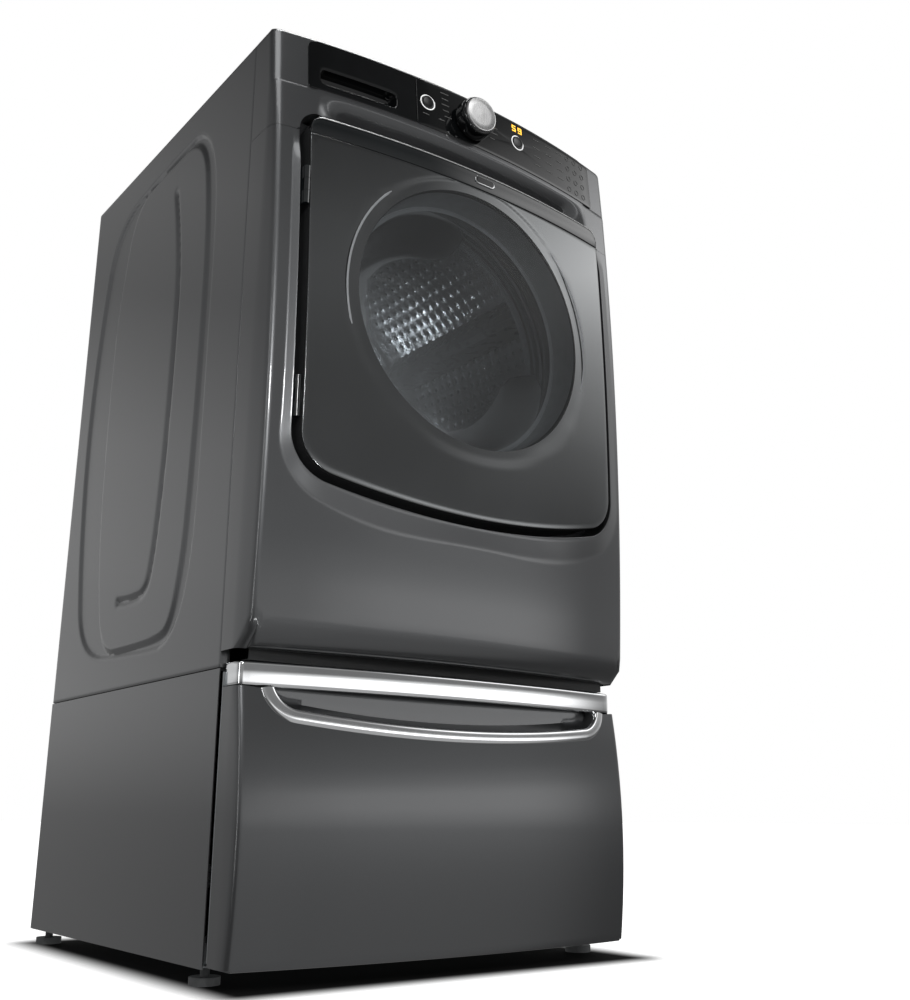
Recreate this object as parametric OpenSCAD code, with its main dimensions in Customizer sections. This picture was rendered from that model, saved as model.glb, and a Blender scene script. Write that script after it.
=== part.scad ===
// Front load washing machine on a drawer pedestal.
// Millimetres, +Z up, the front faces -Y, the origin is on the floor under the middle of the box.

/* [Cabinet] */
// Width of the cabinet and of the pedestal
cabinet_w = 686; // [684:1:688]
// Depth of the flat side panels
side_d = 660; // [658:1:662]
// Height of the top above the floor
top_h = 1359; // [1359:1:1361]
// Height of the pedestal, floor to seam
pedestal_h = 394; // [393:1:394]
// Sheet metal thickness
sheet = 1.5; // [1.2:0.1:1.6]

/* [Front] */
// Radius of the front's bow, seen from above, at its fullest height
bow_r = 1573; // [1572:1:1574]
// Height of the fullest part of the front
belly_z = 800; // [790:5:810]
// How far the front falls back 500 mm above its fullest part
belly_drop = 20.6; // [20:0.1:21]
// Skin thickness of the front mouldings
skin = 2.5; // [2:0.5:3]
// Height of the seam between the front panel and the console
console_z = 1183; // [1181:1:1184]

/* [Door] */
// Half the width of the door
door_half = 290; // [289:1:291]
// Lowest point of the door's arched bottom edge
door_low = 626; // [624:1:628]
// Top edge of the door
door_high = 1207; // [1206:1:1208]
// Gap between the door and the edge of its opening
door_gap = 12; // [11.5:0.5:12]
// Radius of the round window
window_r = 213; // [210:1:215]

/* [Drum] */
// Height of the drum's axis above the floor
drum_z = 948; // [946:1:949]
// Outer radius of the drum
drum_r = 278; // [270:1:280]
// Depth of the drum
drum_d = 462; // [440:1:464]
// Inner radius of the tub
tub_r = 294; // [293:1:295]

/* [Pedestal] */
// Radius of the drawer front's bow, seen from above
drawer_bow_r = 2200; // [2190:5:2210]
// Bottom edge of the pedestal's panels above the floor
skirt_z = 22; // [20:1:24]

/* [Hidden] */
$fn = 64;

half_w = cabinet_w / 2;
in_half = half_w - sheet;
// The seam between the side panels and the front is y = 0 here; the whole model moves back by
// this much, so that the origin is under the middle of its box.
shift_y = -282;
knob_front_y = -128;
rear_end_y = 692;
seam_gap = 0.5;
front_z = 416;
control_low = 1264;
control_high = 1352;
dispenser_edge = -105;
bow_y = bow_r - 116;
roll_h = 34;
roll_depth = 23;
drawer_bow_y = drawer_bow_r - 88;
drawer_high = 368;
bar_high = 401;

slate = "#4b4d4f";
gloss_black = "#101112";
plastic = "#5c5f62";
steel = "#b9bdc0";
zinc = "#9aa0a4";
rubber = "#3a3c3d";

// Radius of the front at a height: a shallow belly, with its lower edge rolled under.
function edge_roll(z) =
    z < front_z + roll_h
    ? roll_depth * (1 - sqrt(max(0, 1 - pow((front_z + roll_h - z) / roll_h, 2))))
    : 0;
function front_r(z) = bow_r - belly_drop * pow((z - belly_z) / 500, 2) - edge_roll(z);
function front_y(x, z) = bow_y - sqrt(pow(front_r(z), 2) - x * x);

// Radius of the pedestal drawer's front at a height.
drawer_belly_z = 180;
drawer_belly_drop = 16;
drawer_belly_h = 188;
function drawer_r(z) =
    drawer_bow_r - drawer_belly_drop * pow((z - drawer_belly_z) / drawer_belly_h, 2);

function arc_pts(c, r, a0, a1, n) =
    [for (i = [0:n]) let (a = a0 + (a1 - a0) * i / n) [c.x + r * cos(a), c.y + r * sin(a)]];
function inner_pts(pts) = [for (i = [1:len(pts) - 2]) pts[i]];

// Outline with straight sides, an arched bottom and round corners, grown by g on every side.
function outline(half, low, high, arch_r, corner_r, top_r, g) =
    let (
        arch = [0, low + arch_r],
        cx = half - corner_r,
        cz = arch.y - sqrt(pow(arch_r - corner_r, 2) - cx * cx),
        b = atan2(cz - arch.y, cx),
        tx = half - top_r,
        tz = high - top_r
    )
    concat(
        inner_pts(arc_pts(arch, arch_r + g, -180 - b, b, 12)),
        arc_pts([cx, cz], corner_r + g, b, 0, 8),
        arc_pts([tx, tz], top_r + g, 0, 90, 5),
        arc_pts([-tx, tz], top_r + g, 90, 180, 5),
        arc_pts([-cx, cz], corner_r + g, 180, 180 - b, 8)
    );
function door_outline(g) = outline(door_half, door_low, door_high, 1050, 60, 24, g);
function scoop_outline(g) = outline(300, 316, 388, 2200, 48, 6, g);

module placed() {
    translate([0, shift_y, 0]) children();
}

// Turns a shape drawn as (radius, depth) about the drum's axis.
module about_drum(a0 = 0, turn = 360) {
    translate([0, 0, drum_z])
        rotate([-90, 0, 0])
            rotate([0, 0, a0])
                rotate_extrude(angle = turn, $fn = 144)
                    children();
}

// A cylinder along +Y, from y0 to y1.
module rod_y(x, z, r, y0, y1) {
    translate([x, y0, z])
        rotate([-90, 0, 0])
            cylinder(r = r, h = y1 - y0);
}

module box(x0, x1, y0, y1, z0, z1) {
    translate([x0, y0, z0]) cube([x1 - x0, y1 - y0, z1 - z0]);
}

// An outline in X and Z, extruded from y0 to y1.
module prism(pts, y0, y1) {
    translate([0, y1, 0])
        rotate([90, 0, 0])
            linear_extrude(height = y1 - y0)
                polygon(pts);
}

// Heights at which the front's profile has a point: close together where its edge rolls under.
profile_z = concat(
    [front_z - 16, front_z, front_z + 2, front_z + 7, front_z + 14, front_z + 22],
    [front_z + roll_h],
    [for (z = [540:110:1310]) z],
    [top_h + 16]
);

// Bowed band between two heights; its outer face stands off from the front's surface.
module bow_band(z0, z1, off, thick) {
    n = len(profile_z) - 1;
    intersection() {
        translate([0, bow_y, 0])
            rotate([0, 0, 255])
                rotate_extrude(angle = 30, $fn = 720)
                    polygon(concat(
                        [for (z = profile_z) [front_r(z) + off, z]],
                        [for (i = [0:n]) [front_r(profile_z[n - i]) + off - thick, profile_z[n - i]]]
                    ));
        box(-380, 380, -240, 150, z0, z1);
    }
}

// Everything between the bowed front and the plane y = back.
module bow_block(z0, z1, off, half, back) {
    intersection() {
        bow_band(z0, z1, off, 190);
        box(-half, half, -220, back, z0, z1);
    }
}

module drawer_block(z0, z1, off, half, back) {
    n = 6;
    intersection() {
        translate([0, drawer_bow_y, 0])
            rotate([0, 0, 260])
                rotate_extrude(angle = 20, $fn = 720)
                    polygon(concat(
                        [for (i = [0:n]) let (z = z0 + (z1 - z0) * i / n) [drawer_r(z) + off, z]],
                        [[drawer_bow_y - 40, z1], [drawer_bow_y - 40, z0]]
                    ));
        box(-half, half, -220, back, z0, z1);
    }
}

/* ---- cabinet ---- */

flange = 22;
module side_panel(side) {
    low = pedestal_h + seam_gap;
    high = top_h - 6;
    x0 = side > 0 ? half_w - sheet : -half_w;
    xf = side > 0 ? half_w - flange : -half_w;
    box(x0, x0 + sheet, 0, side_d, low, high);
    box(xf, xf + flange, 0, sheet, low, high);
    box(xf, xf + flange, side_d - sheet, side_d, low, high);
}

module side_panel_left() {
    color(slate) placed() side_panel(-1);
}

module side_panel_right() {
    color(slate) placed() side_panel(1);
}

rear_y = side_d - 2 * sheet - 1;
cover_half = 190;
cover_low = 560;
cover_high = 1130;
cover_margin = 22;
valve_x = [-230, -170];
valve_z = 1290;
valve_r = 13.3;
thread_len = 16;
collar_r = 16;
drain_x = 110;
drain_z = 430;
drain_r = 12.5;
drain_len = 24;
cord_x = 250;

function cover_screws() =
    [for (x = [-1, 1], z = [0:2])
        [x * (cover_half - cover_margin / 2),
         cover_low + cover_margin / 2 + z * (cover_high - cover_low - cover_margin) / 2]];

module rear_panel() {
    color(zinc) placed() difference() {
        box(-in_half + 0.2, in_half - 0.2, rear_y, rear_y + sheet, pedestal_h + 4, top_h - 7);
        box(-cover_half + cover_margin, cover_half - cover_margin, rear_y - 1, rear_y + 3,
            cover_low + cover_margin, cover_high - cover_margin);
        for (x = valve_x) rod_y(x, valve_z, collar_r + 0.5, rear_y - 1, rear_y + 3);
        rod_y(drain_x, drain_z, drain_r + 0.5, rear_y - 1, rear_y + 3);
        rod_y(cord_x, valve_z, 9, rear_y - 1, rear_y + 3);
        for (p = cover_screws()) rod_y(p.x, p.y, 2.2, rear_y - 1, rear_y + 3);
    }
}

module rear_cover() {
    color(zinc) placed() difference() {
        box(-cover_half, cover_half, rear_y + sheet, rear_y + sheet + 1.2, cover_low, cover_high);
        for (p = cover_screws()) rod_y(p.x, p.y, 2.2, rear_y - 1, rear_y + 5);
    }
}

module cabinet_screws() {
    head_y = rear_y + sheet + 1.2;
    color(steel) placed() for (p = cover_screws()) {
        rod_y(p.x, p.y, 2, rear_y - 9, head_y);
        rod_y(p.x, p.y, 4.5, head_y, head_y + 2.5);
    }
}

module top_panel() {
    color(slate) placed() difference() {
        box(-half_w, half_w, 0, side_d, top_h - 6, top_h);
        box(-in_half, in_half, sheet, side_d - sheet, top_h - 7, top_h - sheet);
    }
}

foot_spots = [[-322, 34], [322, 34], [-322, 626], [322, 626]];
deck_z = pedestal_h - 2;
pan_top = deck_z + 2;
toe_z = 403;
toe_y = -36;
toe_half = half_w - flange - 1;

module base_pan() {
    color(zinc) placed() {
        box(-in_half + 0.3, in_half - 0.3, 2, rear_y - 1, deck_z, pan_top);
        for (x = [-260, 0, 235]) box(x, x + 25, 120, 600, pan_top, pan_top + 8);
        // Toe: closes the gap under the front panel, clear of the pedestal drawer.
        box(-toe_half, toe_half, 2, 2 + sheet, deck_z, toe_z + sheet);
        box(-toe_half, toe_half, toe_y, 2 + sheet, toe_z, toe_z + sheet);
        box(-toe_half, toe_half, toe_y, toe_y + sheet, toe_z, front_z + 24);
    }
}

spring_x = 255;
spring_y = 260;
brace_low = 1302;
module top_brace() {
    color(zinc) placed() {
        difference() {
            box(-in_half + 0.3, in_half - 0.3, spring_y - 12, spring_y + 12, brace_low, 1330);
            box(-in_half, in_half, spring_y - 10, spring_y + 10, brace_low + 2, 1331);
        }
        for (s = [-1, 1]) translate([s * spring_x, spring_y, brace_low - 12]) cylinder(r = 9, h = 12);
    }
}

/* ---- front ---- */

bezel_w = 26;
bezel_h = 5;
bulkhead_y = -46;
rim = 1.5;

module front_panel() {
    high = console_z;
    color(slate) placed() difference() {
        union() {
            difference() {
                bow_block(front_z, high, 0, half_w, -seam_gap);
                bow_block(front_z - 1, high + 1, -skin, half_w - skin, 1);
            }
            intersection() {
                prism(door_outline(door_gap + bezel_w), -200, -60);
                bow_band(door_low - 60, high, bezel_h, bezel_h + skin);
            }
            intersection() {
                bow_band(door_low - 60, high, bezel_h, 100);
                prism(door_outline(door_gap + rim), -200, bulkhead_y);
            }
        }
        prism(door_outline(door_gap), -220, 10);
    }
}

hinge_z = [760, 1085];
hinge_x = -296;
hinge_y = -92;
strike_x = 262;
strike_w = 8;

module front_bulkhead() {
    color(slate) placed() difference() {
        intersection() {
            prism(door_outline(door_gap + rim), bulkhead_y, bulkhead_y + sheet);
            box(-half_w, half_w, -100, 0, 500, 1215.5);
        }
        rod_y(0, drum_z, 236, -60, -30);
        box(strike_x - 6, strike_x + strike_w + 7, -60, -30, drum_z - 14, drum_z + 14);
    }
}

scoop_half = 280;
scoop_z = 1216;
scoop_r = 40;
scoop_axis_r = front_r(scoop_z + scoop_r);
lip_z = scoop_z + scoop_r - 1;
ledge_y = [-57, -31];

// A quarter disc that follows the front's bow; it stops a little inside or outside the skin.
module scoop_sweep(r, half, front) {
    intersection() {
        translate([0, bow_y, 0])
            rotate([0, 0, 255])
                rotate_extrude(angle = 30, $fn = 720)
                    intersection() {
                        translate([scoop_axis_r, scoop_z]) circle(r = r, $fn = 96);
                        translate([scoop_axis_r - r - 1, scoop_z]) square([r + 1 + front, r + 1]);
                    }
        box(-half, half, -220, 0, scoop_z - 1, control_low);
    }
}

module console_fascia() {
    color(slate) placed() {
        difference() {
            bow_block(console_z + seam_gap, top_h, 0, half_w, -seam_gap);
            bow_block(console_z - 1, top_h - skin, -skin, half_w - skin, 1);
            prism(door_outline(door_gap), -220, 10);
            box(-door_half, door_half, -220, 10, control_low, control_high);
            box(-scoop_half, scoop_half, -220, 10, console_z, lip_z);
        }
        // Finger scoop over the door, with its two ends.
        difference() {
            scoop_sweep(scoop_r + skin, scoop_half + skin, -1);
            scoop_sweep(scoop_r, scoop_half, 30);
        }
        // Ledge between the scoop's lower edge and the bulkhead.
        box(-scoop_half - 1, scoop_half + 1, ledge_y[0], ledge_y[1], scoop_z, scoop_z + skin);
    }
}

panel_off = 1;
knob_z = 1306;
shaft_r = 4;
power_at = [-84, 1311];
start_at = [106, 1313];
button_r = 11.5;

module control_panel() {
    color(gloss_black) placed() difference() {
        intersection() {
            bow_band(control_low + 0.3, control_high - 0.3, panel_off, 4);
            box(dispenser_edge + 0.5, door_half - 0.5, -220, 0, control_low + 0.3, control_high - 0.3);
        }
        rod_y(0, knob_z, shaft_r + 0.06, -120, -60);
        for (p = [power_at, start_at]) rod_y(p.x, p.y, button_r + 0.4, -120, -60);
    }
}

board_y = -58;
module control_board() {
    color("#1f5a35") placed() {
        box(-90, 280, board_y, board_y + 1.6, 1272, 1345);
        box(-60, -20, board_y + 1.6, board_y + 14, 1290, 1325);
        box(40, 90, board_y + 1.6, board_y + 22, 1285, 1330);
        box(150, 165, board_y + 1.6, board_y + 18, 1300, 1315);
    }
}

/* ---- dispenser ---- */

house_x = [-281, -109];
house_z = [1266, 1347];
house_y = [-48, 235];
module dispenser_housing() {
    t = 2;
    color(plastic) placed() difference() {
        box(house_x[0], house_x[1], house_y[0], house_y[1], house_z[0], house_z[1]);
        box(house_x[0] + t, house_x[1] - t, house_y[0] - 1, house_y[1] - t, house_z[0] + t, house_z[1] - t);
        rod_y(-200, valve_z, 6, 225, 240);
    }
}

pocket_x = [-271, -141];
pocket_z = [1275, 1303];
module dispenser_front() {
    back = -50;
    r = 8;
    color(gloss_black) placed() difference() {
        intersection() {
            bow_band(control_low + 0.3, control_high - 0.3, panel_off, 60);
            box(-door_half + 0.5, dispenser_edge - 0.5, -220, back, control_low + 0.3, control_high - 0.3);
        }
        box(pocket_x[0] + r, pocket_x[1] - r, -220, back - 6, pocket_z[0], pocket_z[1]);
        box(pocket_x[0], pocket_x[1], -220, back - 6, pocket_z[0] + r, pocket_z[1] - r);
        for (x = [pocket_x[0] + r, pocket_x[1] - r], z = [pocket_z[0] + r, pocket_z[1] - r])
            rod_y(x, z, r, -220, back - 6);
    }
}

module dispenser_tray() {
    x0 = house_x[0] + 4;
    x1 = house_x[1] - 4;
    z0 = house_z[0] + 3;
    t = 2;
    color("#8d959b") placed() difference() {
        box(x0, x1, -50, 225, z0, 1336);
        box(x0 + t, x0 + 52, -46, 223, z0 + t, 1340);
        box(x0 + 54, x0 + 108, -46, 223, z0 + t, 1340);
        box(x0 + 110, x1 - t, -46, 223, z0 + t, 1340);
    }
}

module inlet_valves() {
    color("#d9dcde") placed() {
        for (x = valve_x) {
            box(x - 20, x + 20, 600, rear_y - 1, valve_z - 22, valve_z + 28);
            rod_y(x, valve_z, collar_r, rear_y - 1, rear_end_y - thread_len);
            rod_y(x, valve_z, valve_r, rear_end_y - thread_len - 1, rear_end_y);
        }
        box(valve_x[0] + 20, valve_x[1] - 20, 610, 640, valve_z - 10, valve_z + 10);
        difference() {
            rod_y(-200, valve_z, 8, house_y[1], 612);
            rod_y(-200, valve_z, 6, house_y[1] - 1, 606);
        }
    }
}

/* ---- door hinge, lock and seal ---- */

knuckle_r = 4.4;
pin_r = 2.5;
module door_hinge_base() {
    color(zinc) placed() for (z = hinge_z) {
        difference() {
            box(-301, -298, hinge_y, bulkhead_y, z - 30, z + 30);
            box(-302, -297, hinge_y - 1, hinge_y + knuckle_r + 1, z - 10, z + 10);
        }
        for (s = [-1, 1])
            translate([hinge_x, hinge_y, z + (s > 0 ? 10 : -30)]) cylinder(r = knuckle_r, h = 20);
        translate([hinge_x, hinge_y, z - 15]) cylinder(r = pin_r, h = 30);
        for (s = [-1, 1])
            box(-300, hinge_x, hinge_y, hinge_y + 4, z + (s > 0 ? 10 : -30), z + (s > 0 ? 30 : -10));
    }
}

module door_hinge_leaf() {
    color(zinc) placed() for (z = hinge_z) difference() {
        union() {
            translate([hinge_x, hinge_y, z - 9.5]) cylinder(r = knuckle_r, h = 19);
            box(hinge_x, -door_half, hinge_y, hinge_y + 4.4, z - 9.5, z + 9.5);
            box(-door_half - 2.5, -door_half, hinge_y, -62, z - 9.5, z + 9.5);
        }
        translate([hinge_x, hinge_y, z - 20]) cylinder(r = pin_r + 0.05, h = 40);
    }
}

lock_back = -16;
module door_lock() {
    color("#e6e8e9") placed() difference() {
        box(244, 292, bulkhead_y + sheet, lock_back, drum_z - 33, drum_z + 33);
        box(strike_x - 6, strike_x + strike_w + 7, -60, lock_back - 4, drum_z - 14, drum_z + 14);
    }
}

door_back = -52;
module door_strike() {
    color(zinc) placed() {
        box(strike_x, strike_x + strike_w, door_back, -24, drum_z - 6, drum_z + 6);
        box(strike_x - 3, strike_x, -30, -24, drum_z - 6, drum_z + 6);
    }
}

module door_gasket() {
    color(rubber) placed() about_drum() polygon([
        [226, -50], [235.5, -50], [235.5, -36], [231, -33], [226, -30], [231, -26], [234, -20],
        [236, -16], [236, -12.1], [223, -12.1], [222, -20], [219, -28], [212, -31], [212, -34],
        [220, -36], [223, -42]
    ]);
}

/* ---- tub ---- */

tub_wall = 4;
tub_out = tub_r + tub_wall;
tub_split = 200;
tub_back = 506;
tub_face = -12;
spring_seat_z = 1130;
damper_x = 170;
damper_y = 240;
hose_y = 60;
motor_z = 570;
bearing_r = 26;
hub_end = 556;

module tub_lug(x0, x1, y0, y1, z0, z1) {
    difference() {
        box(x0, x1, y0, y1, z0, z1);
        rod_y(0, drum_z, tub_r + 2, y0 - 1, y1 + 1);
    }
}

module tub_front() {
    color(plastic) placed() {
        difference() {
            about_drum() polygon([
                [222, tub_face], [tub_out, tub_face], [tub_out, tub_split - 6],
                [tub_out + 6, tub_split - 6], [tub_out + 6, tub_split], [tub_r, tub_split],
                [tub_r, tub_face + 4], [222, tub_face + 4]
            ]);
            translate([drain_x, hose_y, drum_z - 340]) cylinder(r = 15, h = 100);
        }
        difference() {
            translate([drain_x, hose_y, spigot_low]) cylinder(r = spigot_r, h = 54);
            translate([drain_x, hose_y, spigot_low - 1]) cylinder(r = 15, h = 70);
            rod_y(0, drum_z, tub_r + 2, 0, 120);
        }
    }
}

heater_x = 18;
heater_z = drum_z - 286;
module tub_rear() {
    color(plastic) placed() {
        difference() {
            about_drum() polygon([
                [tub_r, tub_split], [tub_out + 6, tub_split], [tub_out + 6, tub_split + 6],
                [tub_out, tub_split + 6], [tub_out, tub_back], [46, tub_back], [44, hub_end],
                [bearing_r, hub_end], [bearing_r, 496], [44, 496], [46, tub_back - 4],
                [tub_r, tub_back - 4]
            ]);
            for (s = [-1, 1]) rod_y(s * heater_x, heater_z, 3.6, 490, 520);
        }
        for (s = [-1, 1]) {
            tub_lug(s * spring_x - 12, s * spring_x + 12, spring_y - 12, spring_y + 12, 1080, spring_seat_z);
            translate([s * spring_x, spring_y, spring_seat_z]) cylinder(r = 9, h = 12);
            tub_lug(s * damper_x - 12, s * damper_x + 12, damper_y - 12, damper_y + 12, 676, 715);
        }
        for (y = [415, 500]) tub_lug(-55, 55, y, y + 25, 640, 662);
    }
}

weight_r = [252, 292];
weight_y = -28;
module counterweights() {
    color("#a7a49d") placed()
        for (a = [20, 200]) about_drum(a, 140) polygon([
            [weight_r[0], weight_y], [weight_r[1], weight_y],
            [weight_r[1], tub_face], [weight_r[0], tub_face]
        ]);
}

module tub_bearings() {
    color(steel) placed()
        for (y = [500, 536])
            about_drum() polygon([[15, y], [bearing_r, y], [bearing_r, y + 16], [15, y + 16]]);
}

motor_r = 62;
rotor_r = 42;
motor_shaft_r = 8;
module drive_motor() {
    color("#6d7276") placed() {
        difference() {
            rod_y(0, motor_z, motor_r, 410, 545);
            rod_y(0, motor_z, rotor_r + 1, 426, 526);
            rod_y(0, motor_z, motor_shaft_r + 0.06, 412, 560);
        }
        for (y = [415, 500]) difference() {
            box(-45, 45, y, y + 25, 600, 640);
            rod_y(0, motor_z, motor_r - 2, y - 1, y + 26);
        }
    }
}

belt_y = [562, 578];
drum_pulley_r = 140;
motor_pulley_r = 20;

module motor_rotor() {
    color(steel) placed() {
        rod_y(0, motor_z, rotor_r, 430, 520);
        rod_y(0, motor_z, motor_shaft_r, 414, belt_y[1] + 4);
        rod_y(0, motor_z, motor_pulley_r, belt_y[0], belt_y[1]);
    }
}

// Outline of the belt's path, off by the given distance from both pulleys.
function belt_path(off) =
    let (
        span = drum_z - motor_z,
        a = asin((drum_pulley_r - motor_pulley_r) / span)
    )
    concat(
        arc_pts([0, drum_z], drum_pulley_r + off, -a, 180 + a, 40),
        arc_pts([0, motor_z], motor_pulley_r + off, 180 + a, 360 - a, 14)
    );

module drive_belt() {
    color(rubber) placed() difference() {
        prism(belt_path(4.2), belt_y[0] + 1, belt_y[1] - 1);
        prism(belt_path(1.2), belt_y[0], belt_y[1]);
    }
}

module water_heater() {
    loop_y = 120;
    plate_half = 34;
    plate_t = 5;
    loop_r = 3.5;
    color(steel) placed() {
        for (s = [-1, 1]) rod_y(s * heater_x, heater_z, loop_r, loop_y, 508);
        translate([0, loop_y, heater_z])
            rotate([0, 0, 180])
                rotate_extrude(angle = 180, $fn = 64)
                    translate([heater_x, 0]) circle(r = loop_r, $fn = 32);
        box(-plate_half, plate_half, tub_back, tub_back + plate_t, heater_z - 6, heater_z + 16);
    }
}

rod_r = 8.5;
rod_z = [440, 676];
module damper_rods() {
    color(steel) placed()
        for (s = [-1, 1])
            translate([s * damper_x, damper_y, rod_z[0]]) cylinder(r = rod_r, h = rod_z[1] - rod_z[0]);
}

module damper_cylinders() {
    low = pan_top;
    color("#3c4043") placed()
        for (s = [-1, 1]) translate([s * damper_x, damper_y, low]) difference() {
            cylinder(r = 13, h = 560 - low);
            translate([0, 0, 8]) cylinder(r = 9.5, h = 560);
        }
}

// One turn is sampled at 14 points; the wire is a six-sided tube swept along the helix.
spring_turns = 9;
spring_coil_r = 13;
wire_r = 2;
function coil_pt(i, n, h) =
    let (a = 360 * spring_turns * i / n) [spring_coil_r * cos(a), spring_coil_r * sin(a), h * i / n];
module coil_spring(h) {
    n = spring_turns * 14;
    pts = [for (i = [0:n], k = [0:5])
        let (p = coil_pt(i, n, h), a = 360 * spring_turns * i / n, b = 60 * k)
        [p.x + wire_r * cos(b) * cos(a), p.y + wire_r * cos(b) * sin(a), p.z + wire_r * sin(b)]];
    faces = concat(
        [[5, 4, 3, 2, 1, 0]],
        [for (i = [0:n - 1], k = [0:5])
            [i * 6 + k, i * 6 + (k + 1) % 6, (i + 1) * 6 + (k + 1) % 6, (i + 1) * 6 + k]],
        [[for (k = [0:5]) n * 6 + k]]
    );
    polyhedron(points = pts, faces = faces, convexity = 10);
}

module suspension_springs() {
    low = spring_seat_z + wire_r + 0.2;
    color(steel) placed()
        for (s = [-1, 1])
            translate([s * spring_x, spring_y, low]) coil_spring(brace_low - 0.2 - wire_r - low);
}

/* ---- water out ---- */

pump_r = 38;
filter_r = 24;
hose_z = [470, 661];
spigot_r = 18;
spigot_low = 646;
module drain_pump() {
    low = pan_top;
    color("#7b8084") placed() {
        difference() {
            union() {
                translate([drain_x, hose_y, low]) cylinder(r = pump_r, h = hose_z[0] - 4 - low);
                translate([drain_x, hose_y, hose_z[0] - 4]) cylinder(r = spigot_r, h = 26);
                box(drain_x - 18, drain_x + 18, hose_y, 118, low, 452);
            }
            translate([drain_x, hose_y, low + 6]) cylinder(r = 15, h = 120);
            rod_y(drain_x, drain_z, 9.5, hose_y, 130);
        }
        rod_y(drain_x, drain_z, filter_r, -8, hose_y - pump_r + 2);
    }
}

module sump_hose() {
    n = 12;
    pitch = (hose_z[1] - hose_z[0]) / n;
    bore = spigot_r + 0.3;
    color(rubber) placed() translate([drain_x, hose_y, hose_z[0]])
        rotate_extrude($fn = 48)
            polygon(concat(
                [[bore, 0]],
                [for (i = [0:n - 1], k = [0:1])
                    [21 + 2.4 * k, pitch * (i + 0.25 + 0.5 * k)]],
                [[21, pitch * n], [bore, pitch * n]]
            ));
}

module drain_tube() {
    color(rubber) placed() difference() {
        union() {
            rod_y(drain_x, drain_z, drain_r, 118, rear_end_y - 6);
            rod_y(drain_x, drain_z, drain_r + 3, rear_y + 2, rear_end_y - 6 - drain_len);
        }
        rod_y(drain_x, drain_z, 9.5, 110, rear_end_y);
    }
}

module cord_inlet() {
    color(gloss_black) placed() difference() {
        union() {
            rod_y(cord_x, valve_z, 8.8, rear_y - 6, rear_y + sheet);
            rod_y(cord_x, valve_z, 13, rear_y + sheet, rear_y + 14);
        }
        rod_y(cord_x, valve_z, 4.2, rear_y - 10, rear_y + 20);
    }
}

/* ---- drum ---- */

drum_front_y = 3;
drum_back_y = drum_front_y + drum_d;
drum_skin = 2;

module drum_shell() {
    color(steel) placed() about_drum() polygon([
        [0, drum_back_y - drum_skin], [drum_r - drum_skin, drum_back_y - drum_skin],
        [drum_r - drum_skin, drum_front_y], [drum_r, drum_front_y], [drum_r, drum_back_y],
        [0, drum_back_y]
    ]);
}

module drum_front_ring() {
    color(steel) placed() about_drum() polygon([
        [207, -3], [drum_r - 10, -3], [drum_r, drum_front_y], [drum_r - 14, drum_front_y],
        [drum_r - 18, 0], [213, 0], [211, 12], [207, 12]
    ]);
}

spider_y = [drum_back_y, drum_back_y + 22];
module drum_spider() {
    color("#a8abad") placed() {
        rod_y(0, drum_z, 40, spider_y[0], 492);
        rod_y(0, drum_z, 14.95, 480, 584);
        translate([0, 0, drum_z])
            for (a = [90, 210, 330]) rotate([0, -a, 0])
                box(0, drum_r - 12, spider_y[0], spider_y[1] - 4, -18, 18);
    }
}

module drum_baffles() {
    foot = drum_r - drum_skin - 0.1;
    color("#c9ccce") placed() translate([0, 0, drum_z])
        for (a = [30, 150, 270]) rotate([0, -a, 0]) intersection() {
            translate([0, 24, 0])
                rotate([-90, 0, 0])
                    linear_extrude(height = drum_d - 60)
                        polygon([
                            [foot + 4, -38], [foot - 12, -30], [foot - 52, -12], [foot - 60, 0],
                            [foot - 52, 12], [foot - 12, 30], [foot + 4, 38]
                        ]);
            rod_y(0, 0, foot, 0, drum_d + 10);
        }
}

module drum_pulley() {
    color("#a8abad") placed() about_drum() polygon([
        [15, belt_y[0] - 4], [30, belt_y[0] - 4], [30, 567], [drum_pulley_r - 6, 567],
        [drum_pulley_r - 6, belt_y[0]], [drum_pulley_r, belt_y[0]], [drum_pulley_r, belt_y[1]],
        [drum_pulley_r - 6, belt_y[1]], [drum_pulley_r - 6, 573], [30, 573], [30, belt_y[1]],
        [15, belt_y[1]]
    ]);
}

/* ---- door ---- */

door_shell = 3;
panel_back = 7;
panel_front = 10;
strip_z = 1177;

module door_body_block(g, off, back) {
    intersection() {
        prism(door_outline(g), -220, back);
        bow_band(door_low - 20, door_high + 2, off, 150);
    }
}

module door_frame() {
    color(plastic) placed() difference() {
        union() {
            difference() {
                door_body_block(0, panel_back, door_back);
                door_body_block(-door_shell, panel_back + 5, door_back - door_shell);
            }
            intersection() {
                rod_y(0, drum_z, window_r + door_shell, -160, door_back);
                door_body_block(0, panel_back, door_back);
            }
        }
        rod_y(0, drum_z, window_r, -200, 0);
    }
}

module door_skin(z0, z1, thick, off) {
    intersection() {
        prism(door_outline(0), -220, -40);
        bow_band(z0, z1, off, thick);
    }
}

module door_panel() {
    color("#5a5e61") placed() door_skin(door_low - 2, strip_z - 0.5, panel_front - panel_back, panel_front);
}

module door_handle_strip() {
    color(gloss_black) placed()
        door_skin(strip_z + 0.5, door_high + 1, panel_front - panel_back + 1, panel_front + 1);
}

module door_glass() {
    color("#8fa0a8") placed() about_drum() polygon([
        [0, 76], [80, 74], [140, 66], [165, 50], [176, 20], [190, -30], [199, -56], [212.5, -60],
        [212.5, -54.5], [203, -50], [196, -28], [182, 22], [171, 55], [146, 73], [84, 81], [0, 83]
    ]);
}

/* ---- controls ---- */

module knob_body() {
    back = -100.5;
    color(gloss_black) placed() {
        rod_y(0, knob_z, 34, knob_front_y + 4, back);
        rod_y(0, knob_z, shaft_r, back, -64);
    }
}

module knob_cap() {
    color(steel) placed() rod_y(0, knob_z, 29.5, knob_front_y, knob_front_y + 4);
}

module push_button(at) {
    rod_y(at.x, at.y, button_r, front_y(at.x, at.y) - panel_off - 2, -64);
}

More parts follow.
